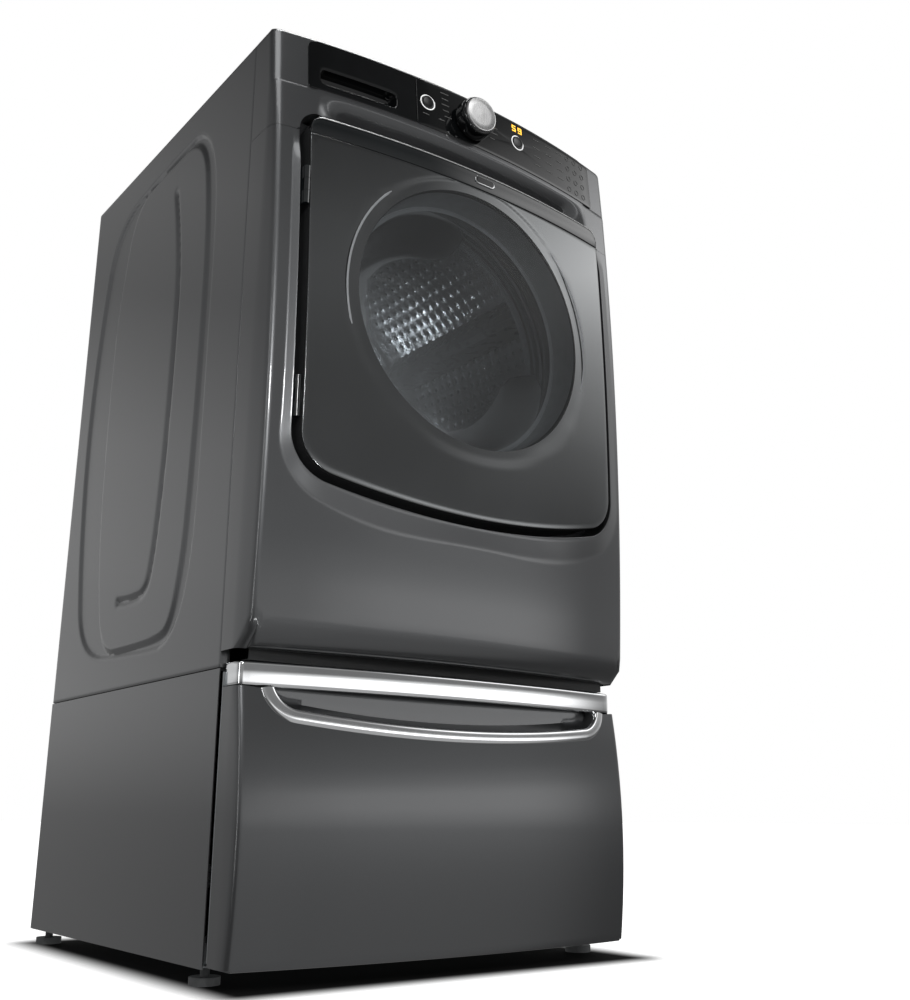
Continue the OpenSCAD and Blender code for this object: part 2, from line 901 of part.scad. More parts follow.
module power_button() {
    color(gloss_black) placed() push_button(power_at);
}

module start_button() {
    color(gloss_black) placed() push_button(start_at);
}

/* ---- pedestal ---- */

module pedestal_panels() {
    high = pedestal_h - seam_gap;
    color(slate) placed() {
        box(-half_w, -in_half, 0, side_d, skirt_z, high);
        box(in_half, half_w, 0, side_d, skirt_z, high);
        box(-in_half + 0.3, in_half - 0.3, side_d - 3, side_d - 1, skirt_z, deck_z - 2);
        box(-in_half + 0.3, in_half - 0.3, 2, side_d - 2, deck_z - sheet, deck_z);
    }
}

foot_low = 10;
stud_r = 6;
module pedestal_base() {
    color(zinc) placed() difference() {
        union() {
            box(-in_half + 0.3, in_half - 0.3, 2, side_d - 4, skirt_z + 2, skirt_z + 4);
            for (p = foot_spots) translate([p.x, p.y, skirt_z + 4]) cylinder(r = 13, h = 24);
        }
        for (p = foot_spots) translate([p.x, p.y, 0]) cylinder(r = stud_r + 0.06, h = 100);
    }
}

module foot(i) {
    translate([foot_spots[i].x, foot_spots[i].y, 0]) {
        cylinder(r = 20, h = foot_low);
        cylinder(r = stud_r, h = 58);
    }
}

module foot_front_left() {
    color(rubber) placed() foot(0);
}

module foot_front_right() {
    color(rubber) placed() foot(1);
}

module foot_rear_left() {
    color(rubber) placed() foot(2);
}

module foot_rear_right() {
    color(rubber) placed() foot(3);
}

rail_z = [116, 144];
module drawer_rails() {
    color(zinc) placed() for (s = [-1, 1]) mirror([s < 0 ? 1 : 0, 0, 0]) difference() {
        box(319.5, in_half, 30, 610, rail_z[0], rail_z[1]);
        box(318, 330, 20, 620, rail_z[0] + 8, rail_z[1] - 8);
    }
}

drawer_half = 340.5;
drawer_face_back = -8;
module drawer_front() {
    t = 2;
    color(slate) placed() difference() {
        union() {
            difference() {
                drawer_block(skirt_z, drawer_high, 0, drawer_half, drawer_face_back);
                drawer_block(skirt_z + t, drawer_high - t, -t, drawer_half - t, 1);
            }
            intersection() {
                drawer_block(skirt_z, drawer_high, 0, drawer_half, drawer_face_back);
                prism(scoop_outline(t), -200, -26);
            }
        }
        prism(scoop_outline(0), -220, -28);
    }
}

module drawer_handle_bar() {
    off = -23;
    color(steel) placed() difference() {
        bar_block(off, drawer_half - 1, drawer_face_back, drawer_high, bar_high);
        bar_block(off - 9, drawer_half - 10, 1, drawer_high - 1, bar_high - 4);
    }
}

module bar_block(off, half, back, z0, z1) {
    intersection() {
        translate([0, drawer_bow_y, z0]) cylinder(r = drawer_bow_r + off, h = z1 - z0, $fn = 720);
        box(-half, half, -220, back, z0, z1);
    }
}

box_half = 305;
box_end = 600;
module drawer_box() {
    z0 = 48;
    z1 = 340;
    color(zinc) placed() {
        box(-box_half, box_half, drawer_face_back + 2, box_end, z0, z0 + sheet);
        for (s = [-1, 1]) {
            box(s * box_half - (s > 0 ? sheet : 0), s * box_half + (s > 0 ? 0 : sheet),
                drawer_face_back + 2, box_end, z0, z1);
            box(s > 0 ? box_half : -329, s > 0 ? 329 : -box_half, 32, box_end - 4,
                rail_z[0] + 9, rail_z[1] - 9);
        }
        box(-box_half, box_half, box_end - sheet, box_end, z0, z1);
        box(-drawer_half, drawer_half, drawer_face_back, drawer_face_back + 2, 30, 388);
    }
}

side_panel_left();
side_panel_right();
rear_panel();
rear_cover();
top_panel();
base_pan();
top_brace();
front_panel();
front_bulkhead();
console_fascia();
control_panel();
control_board();
dispenser_housing();
inlet_valves();
door_hinge_base();
door_lock();
door_gasket();
suspension_springs();
damper_cylinders();
drain_pump();
sump_hose();
drain_tube();
cord_inlet();
cabinet_screws();
pedestal_panels();
pedestal_base();
drawer_rails();
tub_front();
tub_rear();
counterweights();
tub_bearings();
drive_motor();
drive_belt();
water_heater();
damper_rods();
drum_shell();
drum_front_ring();
drum_spider();
drum_baffles();
drum_pulley();
motor_rotor();
door_frame();
door_panel();
door_handle_strip();
door_glass();
door_hinge_leaf();
door_strike();
dispenser_front();
dispenser_tray();
knob_body();
knob_cap();
power_button();
start_button();
drawer_front();
drawer_handle_bar();
drawer_box();
foot_front_left();
foot_front_right();
foot_rear_left();
foot_rear_right();
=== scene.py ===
"""Front load washing machine on its drawer pedestal: the looks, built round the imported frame.

Lengths below are millimetres in the machine's own frame, where y = 0 is the seam between the side
panels and the front; row() turns them into metres in the row frame."""
import math

import bmesh
import bpy
import numpy as np
from mathutils import Matrix, Vector


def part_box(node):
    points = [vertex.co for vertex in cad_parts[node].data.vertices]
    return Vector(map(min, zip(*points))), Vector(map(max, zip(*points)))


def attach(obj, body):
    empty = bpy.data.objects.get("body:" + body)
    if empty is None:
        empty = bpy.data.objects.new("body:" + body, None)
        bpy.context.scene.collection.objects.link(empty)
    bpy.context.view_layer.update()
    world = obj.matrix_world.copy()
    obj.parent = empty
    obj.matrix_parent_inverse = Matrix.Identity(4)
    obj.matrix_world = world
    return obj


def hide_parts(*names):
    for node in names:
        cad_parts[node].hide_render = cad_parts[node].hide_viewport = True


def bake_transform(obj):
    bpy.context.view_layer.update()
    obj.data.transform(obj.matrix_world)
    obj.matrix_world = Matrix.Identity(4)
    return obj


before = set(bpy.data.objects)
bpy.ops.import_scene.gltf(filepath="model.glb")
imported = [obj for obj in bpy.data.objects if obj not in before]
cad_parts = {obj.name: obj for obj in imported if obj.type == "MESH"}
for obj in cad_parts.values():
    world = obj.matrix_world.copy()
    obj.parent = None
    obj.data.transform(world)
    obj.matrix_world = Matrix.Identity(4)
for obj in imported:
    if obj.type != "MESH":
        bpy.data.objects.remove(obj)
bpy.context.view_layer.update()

MM = 0.001
X, Y, Z = 0, 1, 2
SEAM_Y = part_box("side_panel_left")[0].y


def low(node, axis):
    return (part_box(node)[0][axis] - (SEAM_Y if axis == Y else 0)) / MM


def high(node, axis):
    return (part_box(node)[1][axis] - (SEAM_Y if axis == Y else 0)) / MM


# ---- sizes ----

HALF_W = high("side_panel_right", X)
TOP_Z = high("top_panel", Z)
FRONT_Z = low("front_panel", Z)
CONSOLE_Z = low("console_fascia", Z)
SEAM_GAP = 0.5
BACK_Y = high("side_panel_left", Y)
SIDE_LOW = low("side_panel_left", Z)

# The front's bow and belly, as the frame has them.
BOW_R = 1573
BOW_Y = BOW_R - 116
BELLY_Z = 800
BELLY_DROP = 20.6
ROLL_H = 34
ROLL_DEPTH = 23

# Door outline: straight sides, an arched bottom and round corners.
DOOR_HALF = 290
DOOR_LOW = 626
DOOR_HIGH = 1207
DOOR_ARCH = 1050
DOOR_CORNER = 60
DOOR_TOP_R = 20
DOOR_GAP = 12
DOOR_PROUD = 10
STRIP_Z = 1177
STRIP_GAP = 0.6
PANE_EDGE = 1.2
WINDOW_R = 213
DRUM_Z = 948
BULKHEAD_Y = -46

# The front's corners: a flat return beside the seam, then a taper to the corner.
CORNER_X = 338
CORNER_R = 9

DRAWER_BOW_R = 2200
DRAWER_BOW_Y = DRAWER_BOW_R - 88
DRAWER_HALF = high("drawer_front", X)
DRAWER_LOW = low("drawer_front", Z)
DRAWER_HIGH = low("drawer_handle_bar", Z)
BAR_HIGH = high("drawer_handle_bar", Z)


def edge_roll(z):
    u = np.clip((FRONT_Z + ROLL_H - z) / ROLL_H, 0, 1)
    return ROLL_DEPTH * (1 - np.sqrt(1 - u * u))


def front_y(x, z):
    r = BOW_R - BELLY_DROP * ((z - BELLY_Z) / 500) ** 2 - edge_roll(z)
    return BOW_Y - np.sqrt(r * r - x * x)


def drawer_y(x, z):
    r = DRAWER_BOW_R - 16 * ((z - 180) / 188) ** 2
    return DRAWER_BOW_Y - np.sqrt(r * r - x * x)


def smooth(t):
    t = np.clip(t, 0, 1)
    return t * t * (3 - 2 * t)


# ---- materials ----

VECTOR_MATH = "ShaderNodeVectorMath"
IOR = 1.5
ROUGH_VARY = 0.15
BUMP_DEPTH = 0.0004


def wire(owner):
    """Turns on a material's or a world's nodes. Returns them, and a function that adds a node or
    takes one of them, and feeds it: a node given as an input stands for its first output."""
    owner.use_nodes = True
    tree = owner.node_tree

    def add(node, inputs, operation=None):
        if isinstance(node, str):
            node = tree.nodes.new(node)
        if operation:
            node.operation = operation
        for key, value in inputs.items():
            if isinstance(value, bpy.types.Node):
                value = value.outputs[0]
            if isinstance(value, bpy.types.NodeSocket):
                tree.links.new(value, node.inputs[key])
            else:
                node.inputs[key].default_value = value
        return node

    return tree.nodes, add


def material(name, color, rough, metal=0.0, vary=0.06, grain=60, bump=0.0, bump_scale=400,
             stretch=(1, 1, 1), coat=0.0, coat_rough=0.03, emit=0.0):
    """A Principled material whose colour, roughness and bump come from noise over the surface."""
    mat = bpy.data.materials.new(name)
    nodes, add = wire(mat)
    coords = add("ShaderNodeTexCoord", {})
    place = add("ShaderNodeMapping", {"Vector": coords.outputs["Object"], "Scale": stretch})
    noise = add("ShaderNodeTexNoise", {"Vector": place, "Scale": grain, "Detail": 4})
    ramp = add("ShaderNodeValToRGB", {"Fac": noise})
    stops = ramp.color_ramp.elements
    for stop, position, share in zip(stops, (0.3, 0.7), (1 - vary, 1 + vary)):
        stop.position = position
        stop.color = [min(1.0, c * share) for c in color] + [1]
    spread = add("ShaderNodeMapRange", {"Value": noise, "To Min": rough * (1 - ROUGH_VARY),
                                        "To Max": min(1.0, rough * (1 + ROUGH_VARY))})
    shader = add(nodes["Principled BSDF"], {
        "Base Color": ramp, "Roughness": spread, "Metallic": metal, "IOR": IOR,
        "Coat Weight": coat, "Coat Roughness": coat_rough})
    if bump:
        fine = add("ShaderNodeTexNoise", {"Vector": place, "Scale": bump_scale, "Detail": 3})
        relief = add("ShaderNodeBump", {"Strength": bump, "Distance": BUMP_DEPTH, "Height": fine})
        add(shader, {"Normal": relief})
    if emit:
        add(shader, {"Emission Color": (*color, 1), "Emission Strength": emit})
    return mat


def glass(name, tint, rough, show):
    """Tinted glass that lets lamps through; show is how much of a plain tinted film is in it."""
    mat = bpy.data.materials.new(name)
    nodes, add = wire(mat)
    shader = add(nodes["Principled BSDF"], {
        "Base Color": (*[c * 0.35 for c in tint], 1), "Roughness": rough, "IOR": IOR})
    clear = add("ShaderNodeBsdfTransparent", {"Color": (*tint, 1)})
    coords = add("ShaderNodeTexCoord", {})
    noise = add("ShaderNodeTexNoise", {"Vector": coords.outputs["Object"], "Scale": 9})
    film = add("ShaderNodeMapRange", {"Value": noise, "To Min": show * 0.85,
                                      "To Max": show * 1.15})
    rim = add("ShaderNodeFresnel", {"IOR": IOR})
    total = add("ShaderNodeMath", {0: rim, 1: film}, "ADD")
    total.use_clamp = True
    mix = add("ShaderNodeMixShader", {0: total, 1: clear, 2: shader})
    add(nodes["Material Output"], {"Surface": mix})
    return mat


paint = material("slate_paint", (0.115, 0.118, 0.122), 0.30, metal=0.75, vary=0.05, grain=1500,
                 coat=0.6, coat_rough=0.04, bump=0.05, bump_scale=2500)
inner_paint = material("inner_paint", (0.05, 0.052, 0.055), 0.5, metal=0.3, vary=0.1, grain=80)
zinc = material("zinc_steel", (0.42, 0.44, 0.45), 0.38, metal=1, vary=0.16, grain=55,
                bump=0.15, bump_scale=120)
gloss_black = material("gloss_black", (0.004, 0.0045, 0.005), 0.10, vary=0.2, grain=30, coat=0.2)
strip_black = material("strip_black", (0.007, 0.009, 0.010), 0.12, vary=0.1, grain=12, coat=0.3)
smoke = material("smoked_surround", (0.125, 0.13, 0.133), 0.16, metal=0.85, vary=0.04, grain=8,
                 coat=0.6, coat_rough=0.02)
# Dark plastic; on the base pan it also stands in for the shade in the gap under the washer's front.
dark_plastic_and_gap_shade = material("dark_plastic_and_gap_shade", (0.022, 0.023, 0.024), 0.45, vary=0.12, grain=90,
                        bump=0.3, bump_scale=900)
grey_plastic = material("grey_plastic", (0.24, 0.25, 0.26), 0.5, vary=0.08, grain=70,
                        bump=0.3, bump_scale=700)
pale_plastic = material("pale_plastic", (0.62, 0.63, 0.63), 0.42, vary=0.05, grain=70,
                        bump=0.2, bump_scale=700)
baffle_plastic = material("baffle_plastic", (0.15, 0.155, 0.16), 0.28, vary=0.05, grain=50,
                          coat=0.4)
rubber = material("rubber", (0.085, 0.088, 0.09), 0.6, vary=0.15, grain=90, bump=0.4,
                  bump_scale=600)
steel = material("bright_steel", (0.58, 0.59, 0.60), 0.25, metal=1, vary=0.08, grain=120,
                 bump=0.1, bump_scale=500)
drum_steel = material("drum_steel", (0.66, 0.67, 0.68), 0.22, metal=1, vary=0.04, grain=40,
                      stretch=(1, 6, 1))
cast_alloy = material("cast_alloy", (0.48, 0.49, 0.50), 0.48, metal=1, vary=0.14, grain=150,
                      bump=0.5, bump_scale=350)
motor_paint = material("motor_paint", (0.10, 0.105, 0.11), 0.4, metal=0.3, vary=0.12, grain=90,
                       bump=0.2, bump_scale=500)
concrete = material("cast_weight", (0.36, 0.35, 0.33), 0.85, vary=0.25, grain=130, bump=0.9,
                    bump_scale=160)
circuit = material("circuit_green", (0.02, 0.12, 0.05), 0.35, vary=0.3, coat=0.3)
chrome = material("chrome", (0.88, 0.89, 0.90), 0.06, metal=1, vary=0.01, grain=40)
satin = material("satin_lip", (0.86, 0.87, 0.88), 0.13, metal=1, vary=0.01, grain=40)
brushed = material("brushed_cap", (0.80, 0.80, 0.80), 0.28, metal=0.9, vary=0.05,
                   stretch=(30, 1, 1), bump=0.1, bump_scale=200)
# White print that glows though it is no lamp: a painted highlight.
white_mark_painted_glow = material("white_mark_painted_glow", (0.85, 0.86, 0.86), 0.5, vary=0.04, grain=300, emit=0.55)
dim_mark = material("dim_mark", (0.12, 0.12, 0.118), 0.5, grain=300)
amber = material("amber_light", (1.0, 0.55, 0.06), 0.5, grain=300, emit=1.3)
tinted = glass("tinted_pane", (0.80, 0.82, 0.83), 0.03, 0.06)
clear = glass("clear_bowl", (0.94, 0.95, 0.96), 0.02, 0.02)


# ---- mesh tools ----


def row(points):
    p = np.array(points, float) * MM
    p[..., 1] += SEAM_Y
    return p


def stack(*axes):
    """The axes' values as points; one number given for an axis counts for every point."""
    return np.stack(np.broadcast_arrays(*axes), -1)


def sheet(points, wrap=False):
    """Vertices and faces of a grid of points; wrap joins its last column to the first."""
    p = np.array(points, float)
    n, m = p.shape[:2]
    index = np.arange(n * m).reshape(n, m)
    if wrap:
        index = np.hstack([index, index[:, :1]])
    a, b, c, d = index[:-1, :-1], index[:-1, 1:], index[1:, 1:], index[1:, :-1]
    return p.reshape(-1, 3), stack(a, b, c, d).reshape(-1, 4).tolist()


def fan(ring):
    """A cap: the ring and a vertex in its middle."""
    p = np.array(ring, float)
    n = len(p)
    verts = np.vstack([p, p.mean(0)])
    return verts, [[i, (i + 1) % n, n] for i in range(n)]


def join(parts):
    verts, faces, start = [], [], 0
    for v, f in parts:
        verts.append(v)
        faces += [[i + start for i in face] for face in f]
        start += len(v)
    return np.vstack(verts), faces


def placed(name, data):
    obj = bpy.data.objects.new(name, data)
    bpy.context.scene.collection.objects.link(obj)
    return obj


def piece(name, parts, mat, body, replaces=(), sharp=35, thick=0.0, outside=None):
    """A mesh piece from parts in millimetres. thick gives a skin its thickness in millimetres;
    outside is a point that the skin's front faces."""
    verts, faces = join(parts)
    mesh = bpy.data.meshes.new(name)
    mesh.from_pydata(row(verts).tolist(), [], faces)
    bm = bmesh.new()
    bm.from_mesh(mesh)
    bmesh.ops.remove_doubles(bm, verts=bm.verts, dist=0.00002)
    bmesh.ops.dissolve_degenerate(bm, edges=bm.edges, dist=0.00001)
    bmesh.ops.recalc_face_normals(bm, faces=bm.faces)
    if outside is not None:
        target = Vector(row([outside])[0])
        vote = sum(f.calc_area() * f.normal.dot(target - f.calc_center_median()) for f in bm.faces)
        if vote < 0:
            bmesh.ops.reverse_faces(bm, faces=bm.faces)
    bm.to_mesh(mesh)
    bm.free()
    mesh.shade_smooth()
    mesh.set_sharp_from_angle(angle=math.radians(sharp))
    obj = placed(name, mesh)
    obj.data.materials.append(mat)
    if thick:
        shell = obj.modifiers.new("skin", "SOLIDIFY")
        shell.thickness = thick * MM
        shell.offset = -1
    if body:
        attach(obj, body)
    if replaces:
        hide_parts(*replaces)
    return obj


def lathe(profile, x=0, z=DRUM_Z, n=96):
    """A profile of (radius, y) points turned about an axis along Y."""
    a = np.linspace(0, 2 * math.pi, n, endpoint=False)
    r, y = np.array(profile, float).T
    return sheet(stack(x + np.outer(r, np.cos(a)), y[:, None], z + np.outer(r, np.sin(a))),
                 wrap=True)


def arc(cx, cz, r, a0, a1, n):
    a = np.radians(np.linspace(a0, a1, n + 1))
    return stack(cx + r * np.cos(a), cz + r * np.sin(a))


def dense(outline, step):
    """The closed outline with points no further apart than step."""
    out = []
    for p, q in zip(outline, np.roll(outline, -1, 0)):
        n = max(1, math.ceil(np.linalg.norm(q - p) / step))
        out += [p + (q - p) * i / n for i in range(n)]
    return np.array(out)


def inset(outline, d):
    """A closed outline moved in by d. It runs anticlockwise in X and Z."""
    ahead = np.roll(outline, -1, 0) - outline
    ahead /= np.linalg.norm(ahead, axis=1)[:, None] + 1e-9
    behind = np.roll(ahead, 1, 0)
    n = stack(-(ahead + behind)[:, 1], (ahead + behind)[:, 0])
    n /= np.linalg.norm(n, axis=1)[:, None] + 1e-9
    miter = np.clip(n[:, 0] * -ahead[:, 1] + n[:, 1] * ahead[:, 0], 0.5, 1)
    return outline + n * (d / miter)[:, None]


def rounded(x0, x1, z0, z1, r, n=5):
    """A rectangle with round corners; r is one radius, or one for each corner from bottom right."""
    br, tr, tl, bl = (r, r, r, r) if np.isscalar(r) else r
    return np.vstack([
        arc(x1 - br, z0 + br, br, -90, 0, n), arc(x1 - tr, z1 - tr, tr, 0, 90, n),
        arc(x0 + tl, z1 - tl, tl, 90, 180, n), arc(x0 + bl, z0 + bl, bl, 180, 270, n)
    ])


def at(outline, surface, off):
    x, z = outline[:, 0], outline[:, 1]
    return stack(x, surface(x, z) - off, z)


def edge_steps(r, angles=(30, 60, 90)):
    """Steps inwards and outwards round an edge of radius r."""
    return [(r * (1 - math.cos(a)), r * math.sin(a)) for a in map(math.radians, angles)]


def plate(outline, surface, off, deep, edge=0.5, rings=8, back=True):
    """A plate that follows a surface: its face stands off from it, its edge is rounded."""
    rows = [at(outline, surface, off - deep)]
    for step, rise in edge_steps(edge, (0, 30, 60, 90)):
        rows.append(at(inset(outline, step), surface, off - edge + rise))
    rim = inset(outline, edge)
    middle = rim.mean(0)
    for t in np.linspace(1, 0, rings + 1)[1:-1]:
        rows.append(at(middle + (rim - middle) * t, surface, off))
    parts = [sheet(rows, wrap=True), fan(rows[-1])]
    if back:
        inner = [at(middle + (outline - middle) * t, surface, off - deep)
                 for t in np.linspace(1, 0, rings + 1)[:-1]]
        parts += [sheet(inner, wrap=True), fan(inner[-1])]
    return parts


def ring_mark(x, z, r, width, n=40):
    """A flat ring on the front's surface."""
    inner, outer = r - width / 2, r + width / 2
    return [sheet([at(arc(x, z, s, 0, 360, n), front_y, lift) for s, lift in (
        (inner, 1.05), (inner, 1.45), (outer, 1.45), (outer, 1.05))])]


# ---- front of the washer ----


def u_curve(half, bottom, top, arch_r, corner_r, n_leg, n_corner, n_arch):
    """The lower part of an outline, from its top left down and round to its top right, with its
    outward normals, and how many points belong to each stretch."""
    arch_z = bottom + arch_r
    cx = half - corner_r
    cz = arch_z - math.sqrt((arch_r - corner_r) ** 2 - cx * cx)
    end = math.atan2(cz - arch_z, cx)
    start = math.asin(min(0, (top - cz) / corner_r))
    leg = np.linspace(top, cz, n_leg + 1)[:-1] if n_leg else np.zeros(0)
    turn = np.linspace(start, end, n_corner + 1)
    flat = np.linspace(-math.pi - end, end, n_arch + 1)
    left = stack(-cx - corner_r * np.cos(turn), cz + corner_r * np.sin(turn))
    arch = stack(arch_r * np.cos(flat), arch_z + arch_r * np.sin(flat))
    points = np.vstack([stack(-half, leg), left[:-1], arch, (left * [-1, 1])[::-1][1:],
                        stack(half, leg)[::-1]])
    out = stack(-np.cos(turn), np.sin(turn))
    normals = np.vstack([
        np.tile([-1.0, 0.0], (n_leg, 1)), out[:-1], stack(np.cos(flat), np.sin(flat)),
        (out * [-1, 1])[::-1][1:], np.tile([1.0, 0.0], (n_leg, 1))
    ])
    return points, normals, (n_leg, n_corner, n_arch)


def u_border(points, counts, edge_x, bottom):
    """For each point of a U curve, the point of the panel's border that it runs to."""
    n_leg, n_corner, n_arch = counts
    down = n_corner * 3 // 4
    start = points[n_leg]
    corner = np.vstack([
        stack(-edge_x, np.linspace(start[1], bottom, down + 1)),
        stack(np.linspace(-edge_x, -edge_x * 0.86, n_corner - down + 1), bottom)[1:]
    ])
    flat = stack(np.linspace(-edge_x * 0.86, edge_x * 0.86, n_arch + 1), bottom)
    left = np.vstack([stack(-edge_x, points[:n_leg, 1]), corner])
    return np.vstack([left[:-1], flat, (left * [-1, 1])[::-1][1:]])


def corner_path(side, z, surface, corner_x, seam_x, taper_y, seam_y):
    """Plan points from the front's face round its corner to the seam, for an array of heights."""
    x0 = corner_x - CORNER_R
    face = surface(np.full_like(z, x0), z)
    tip = surface(np.full_like(z, corner_x), z)
    bend = np.minimum(taper_y(z), seam_y - 6)
    bend = np.maximum(bend, tip + 8)
    run = np.hypot(seam_x - corner_x, bend - tip)
    after_x = corner_x + (seam_x - corner_x) * CORNER_R / run
    after_y = tip + (bend - tip) * CORNER_R / run
    columns = []
    for t in np.linspace(0, 1, 7):
        w0, w1, w2 = (1 - t) ** 2, 2 * t * (1 - t), t * t
        columns.append((w0 * x0 + w1 * corner_x + w2 * after_x,
                        w0 * face + w1 * tip + w2 * after_y))
    for t in (0.5, 0.85):
        columns.append((after_x + (seam_x - after_x) * t, after_y + (bend - after_y) * t))
    columns += [(seam_x, bend + 6), (seam_x, seam_y), (seam_x - 6, seam_y)]
    return np.stack([stack(side * x, y, z) for x, y in columns], 1)


def corners(border, edge, *path):
    """The strips beside a panel whose border runs out to edge, round its two corners."""
    sides = border[np.abs(border[:, 0]) > edge - 0.01]
    return [sheet(corner_path(side, sides[sides[:, 0] * side > 0][:, 1], *path))
            for side in (-1, 1)]


def front_taper(z):
    return -38 - 12 * np.clip((z - 500) / 650, -0.2, 1.3)


BEZEL_RISE = 5
# Width of the slope round the door, beyond the gap: left leg, left corner, bottom, right corner,
# right leg, at shares of the way along the U.
BEZEL_AT = (0.0, 0.22, 0.31, 0.37, 0.50, 0.63, 0.69, 0.78, 1.0)
BEZEL_W = (10, 12, 25, 37, 26, 42, 34, 24, 18)
# The slope's foot is rounded between these shares of its width, which are 0.3 apart.
FOOT_FROM, FOOT_TO = 0.85, 1.15


def bezel_height(u):
    """Height of the slope at a share of its width: straight, then a rounded foot."""
    bend = (FOOT_TO - np.clip(u, FOOT_FROM, FOOT_TO)) ** 2 / (2 * 0.3)
    return BEZEL_RISE * np.where(u < FOOT_FROM, 1 - u, bend)


def front_shell():
    base, normal, counts = u_curve(DOOR_HALF, DOOR_LOW, CONSOLE_Z - SEAM_GAP, DOOR_ARCH,
                                   DOOR_CORNER, 44, 20, 72)
    along = np.linspace(0, 1, len(base))
    width = np.interp(along, BEZEL_AT, BEZEL_W)
    width = np.convolve(np.pad(width, 8, "edge"), np.ones(17) / 17, "valid")
    fade = smooth((CONSOLE_Z - 6 - base[:, 1]) / 50)
    gap = base + normal * DOOR_GAP
    crease = base + normal * (DOOR_GAP + width[:, None])
    border = u_border(base, counts, CORNER_X - CORNER_R, FRONT_Z)

    def ring(p, u, sink=0.0):
        return at(p, front_y, bezel_height(u) * fade - sink)

    lip = ring(gap, 0)
    rows = [stack(gap[:, 0], BULKHEAD_Y, gap[:, 1])]
    rows += [lip + [0, depth, 0] for depth in (14, 6, 2)]
    for step, rise in edge_steps(PANE_EDGE):
        rows.append(ring(gap + normal * step, step / width, PANE_EDGE - rise))
    rows += [ring(gap + (crease - gap) * u, u) for u in (0.2, 0.4, 0.6, 0.75, 0.85, 0.92, 1, 1.08)]
    start = gap + (crease - gap) * FOOT_TO
    for left in (1, 0.86, 0.7, 0.55, 0.42, 0.31, 0.22, 0.17, 0.13, 0.095, 0.065, 0.04, 0.02,
                 0.008, 0):
        rows.append(ring(start + (border - start) * (1 - left), FOOT_TO))
    hem = at(border[np.abs(border[:, 1] - FRONT_Z) < 0.01], front_y, 0)
    return [sheet(rows), *corners(border, CORNER_X - CORNER_R, front_y, CORNER_X, HALF_W,
                                  front_taper, -SEAM_GAP),
            sheet([hem, hem + [0, 9, 0.4], hem + [0, 18, 1.5]])]


def scoop(x, z):
    """How far the finger scoop over the door lies behind the front's surface."""
    deep = 30 * smooth((279 - np.abs(x)) / 60)
    return deep * smooth((1258 - z) / 36)


def console_y(x, z):
    cap_step = 1.0 * smooth((z - 1261) / 2.5) * smooth((np.abs(x) - 270) / 10)
    return front_y(x, z) + scoop(x, z) + cap_step


CONTROL_LOW = low("control_panel", Z)
CONTROL_HIGH = high("control_panel", Z)
PANEL_X = (-283, 297)
TOP_ROUND = 8
# The height up to which the console's rows follow its lower edge; above it they are level.
LEVEL_Z = 1262.0


def console_shell():
    edge = CORNER_X - CORNER_R
    open_x = DOOR_HALF + DOOR_GAP
    open_top = DOOR_HIGH + DOOR_GAP
    round_r = DOOR_TOP_R + DOOR_GAP
    bend = arc(open_x - round_r, open_top - round_r, round_r, 90, 0, 14)
    legs = np.linspace(open_x, edge, 7)[1:]
    middle = np.linspace(0, open_x - round_r, 46)
    x = np.hstack([middle, bend[1:, 0], legs])
    lowest = np.hstack([np.full(46, open_top), bend[1:, 1], np.full(6, CONSOLE_Z)])
    lowest = np.maximum(lowest, CONSOLE_Z)
    x = np.hstack([-x[:0:-1], x])
    lowest = np.hstack([lowest[:0:-1], lowest])
    share = np.linspace(0, 1, 22)
    rows = [at(stack(x, lowest + (LEVEL_Z - lowest) * t), console_y, 0) for t in share]
    fillet = [(TOP_Z - TOP_ROUND + TOP_ROUND * math.sin(a), TOP_ROUND * (1 - math.cos(a)))
              for a in np.radians(np.linspace(0, 90, 7))]
    heights = [(1263.2, 0), (1264.5, 0), (1266, 0), (1290, 0), (1320, 0), (1345, 0)] + fillet
    for z, back in heights:
        zz = np.full_like(x, z)
        rows.append(stack(x, console_y(x, np.minimum(zz, TOP_Z - TOP_ROUND)) + back, zz))
    rows.append(stack(x, -SEAM_GAP, TOP_Z))
    rim = rows[0]
    wall = [rim + [0, 0.8, -0.3], rim + [0, 4, -0.3], rim * [1, 0, 1] + [0, BULKHEAD_Y, -0.3]]
    opening = np.abs(x) <= open_x + 0.01
    under, over = len(share) + 3, len(rows) - 8
    parts = [sheet(rows[:under]), sheet(rows[over:])]
    for beside in (x <= PANEL_X[0] + 8, x >= PANEL_X[1] - 14):
        parts.append(sheet([r[beside] for r in rows[under - 1:over + 1]]))
    parts.append(sheet([rim[opening]] + [w[opening] for w in wall]))
    z = np.array([lowest[0] + (LEVEL_Z - lowest[0]) * t for t in share] + [h for h, _ in heights])
    back = np.array([0.0] * len(share) + [b for _, b in heights])
    for side in (-1, 1):
        grid = corner_path(side, z, console_y, CORNER_X, HALF_W, front_taper, -SEAM_GAP)
        grid[:, :, 0] -= side * back[:, None] * np.linspace(0, 1, grid.shape[1])[None]
        grid[:, :, 1] += back[:, None] * np.linspace(1, 0, grid.shape[1])[None]
        lid = grid[-1].copy()
        lid[:, 1] = -SEAM_GAP
        parts += [sheet(grid), sheet([grid[-1], lid])]
    return parts


# ---- door ----


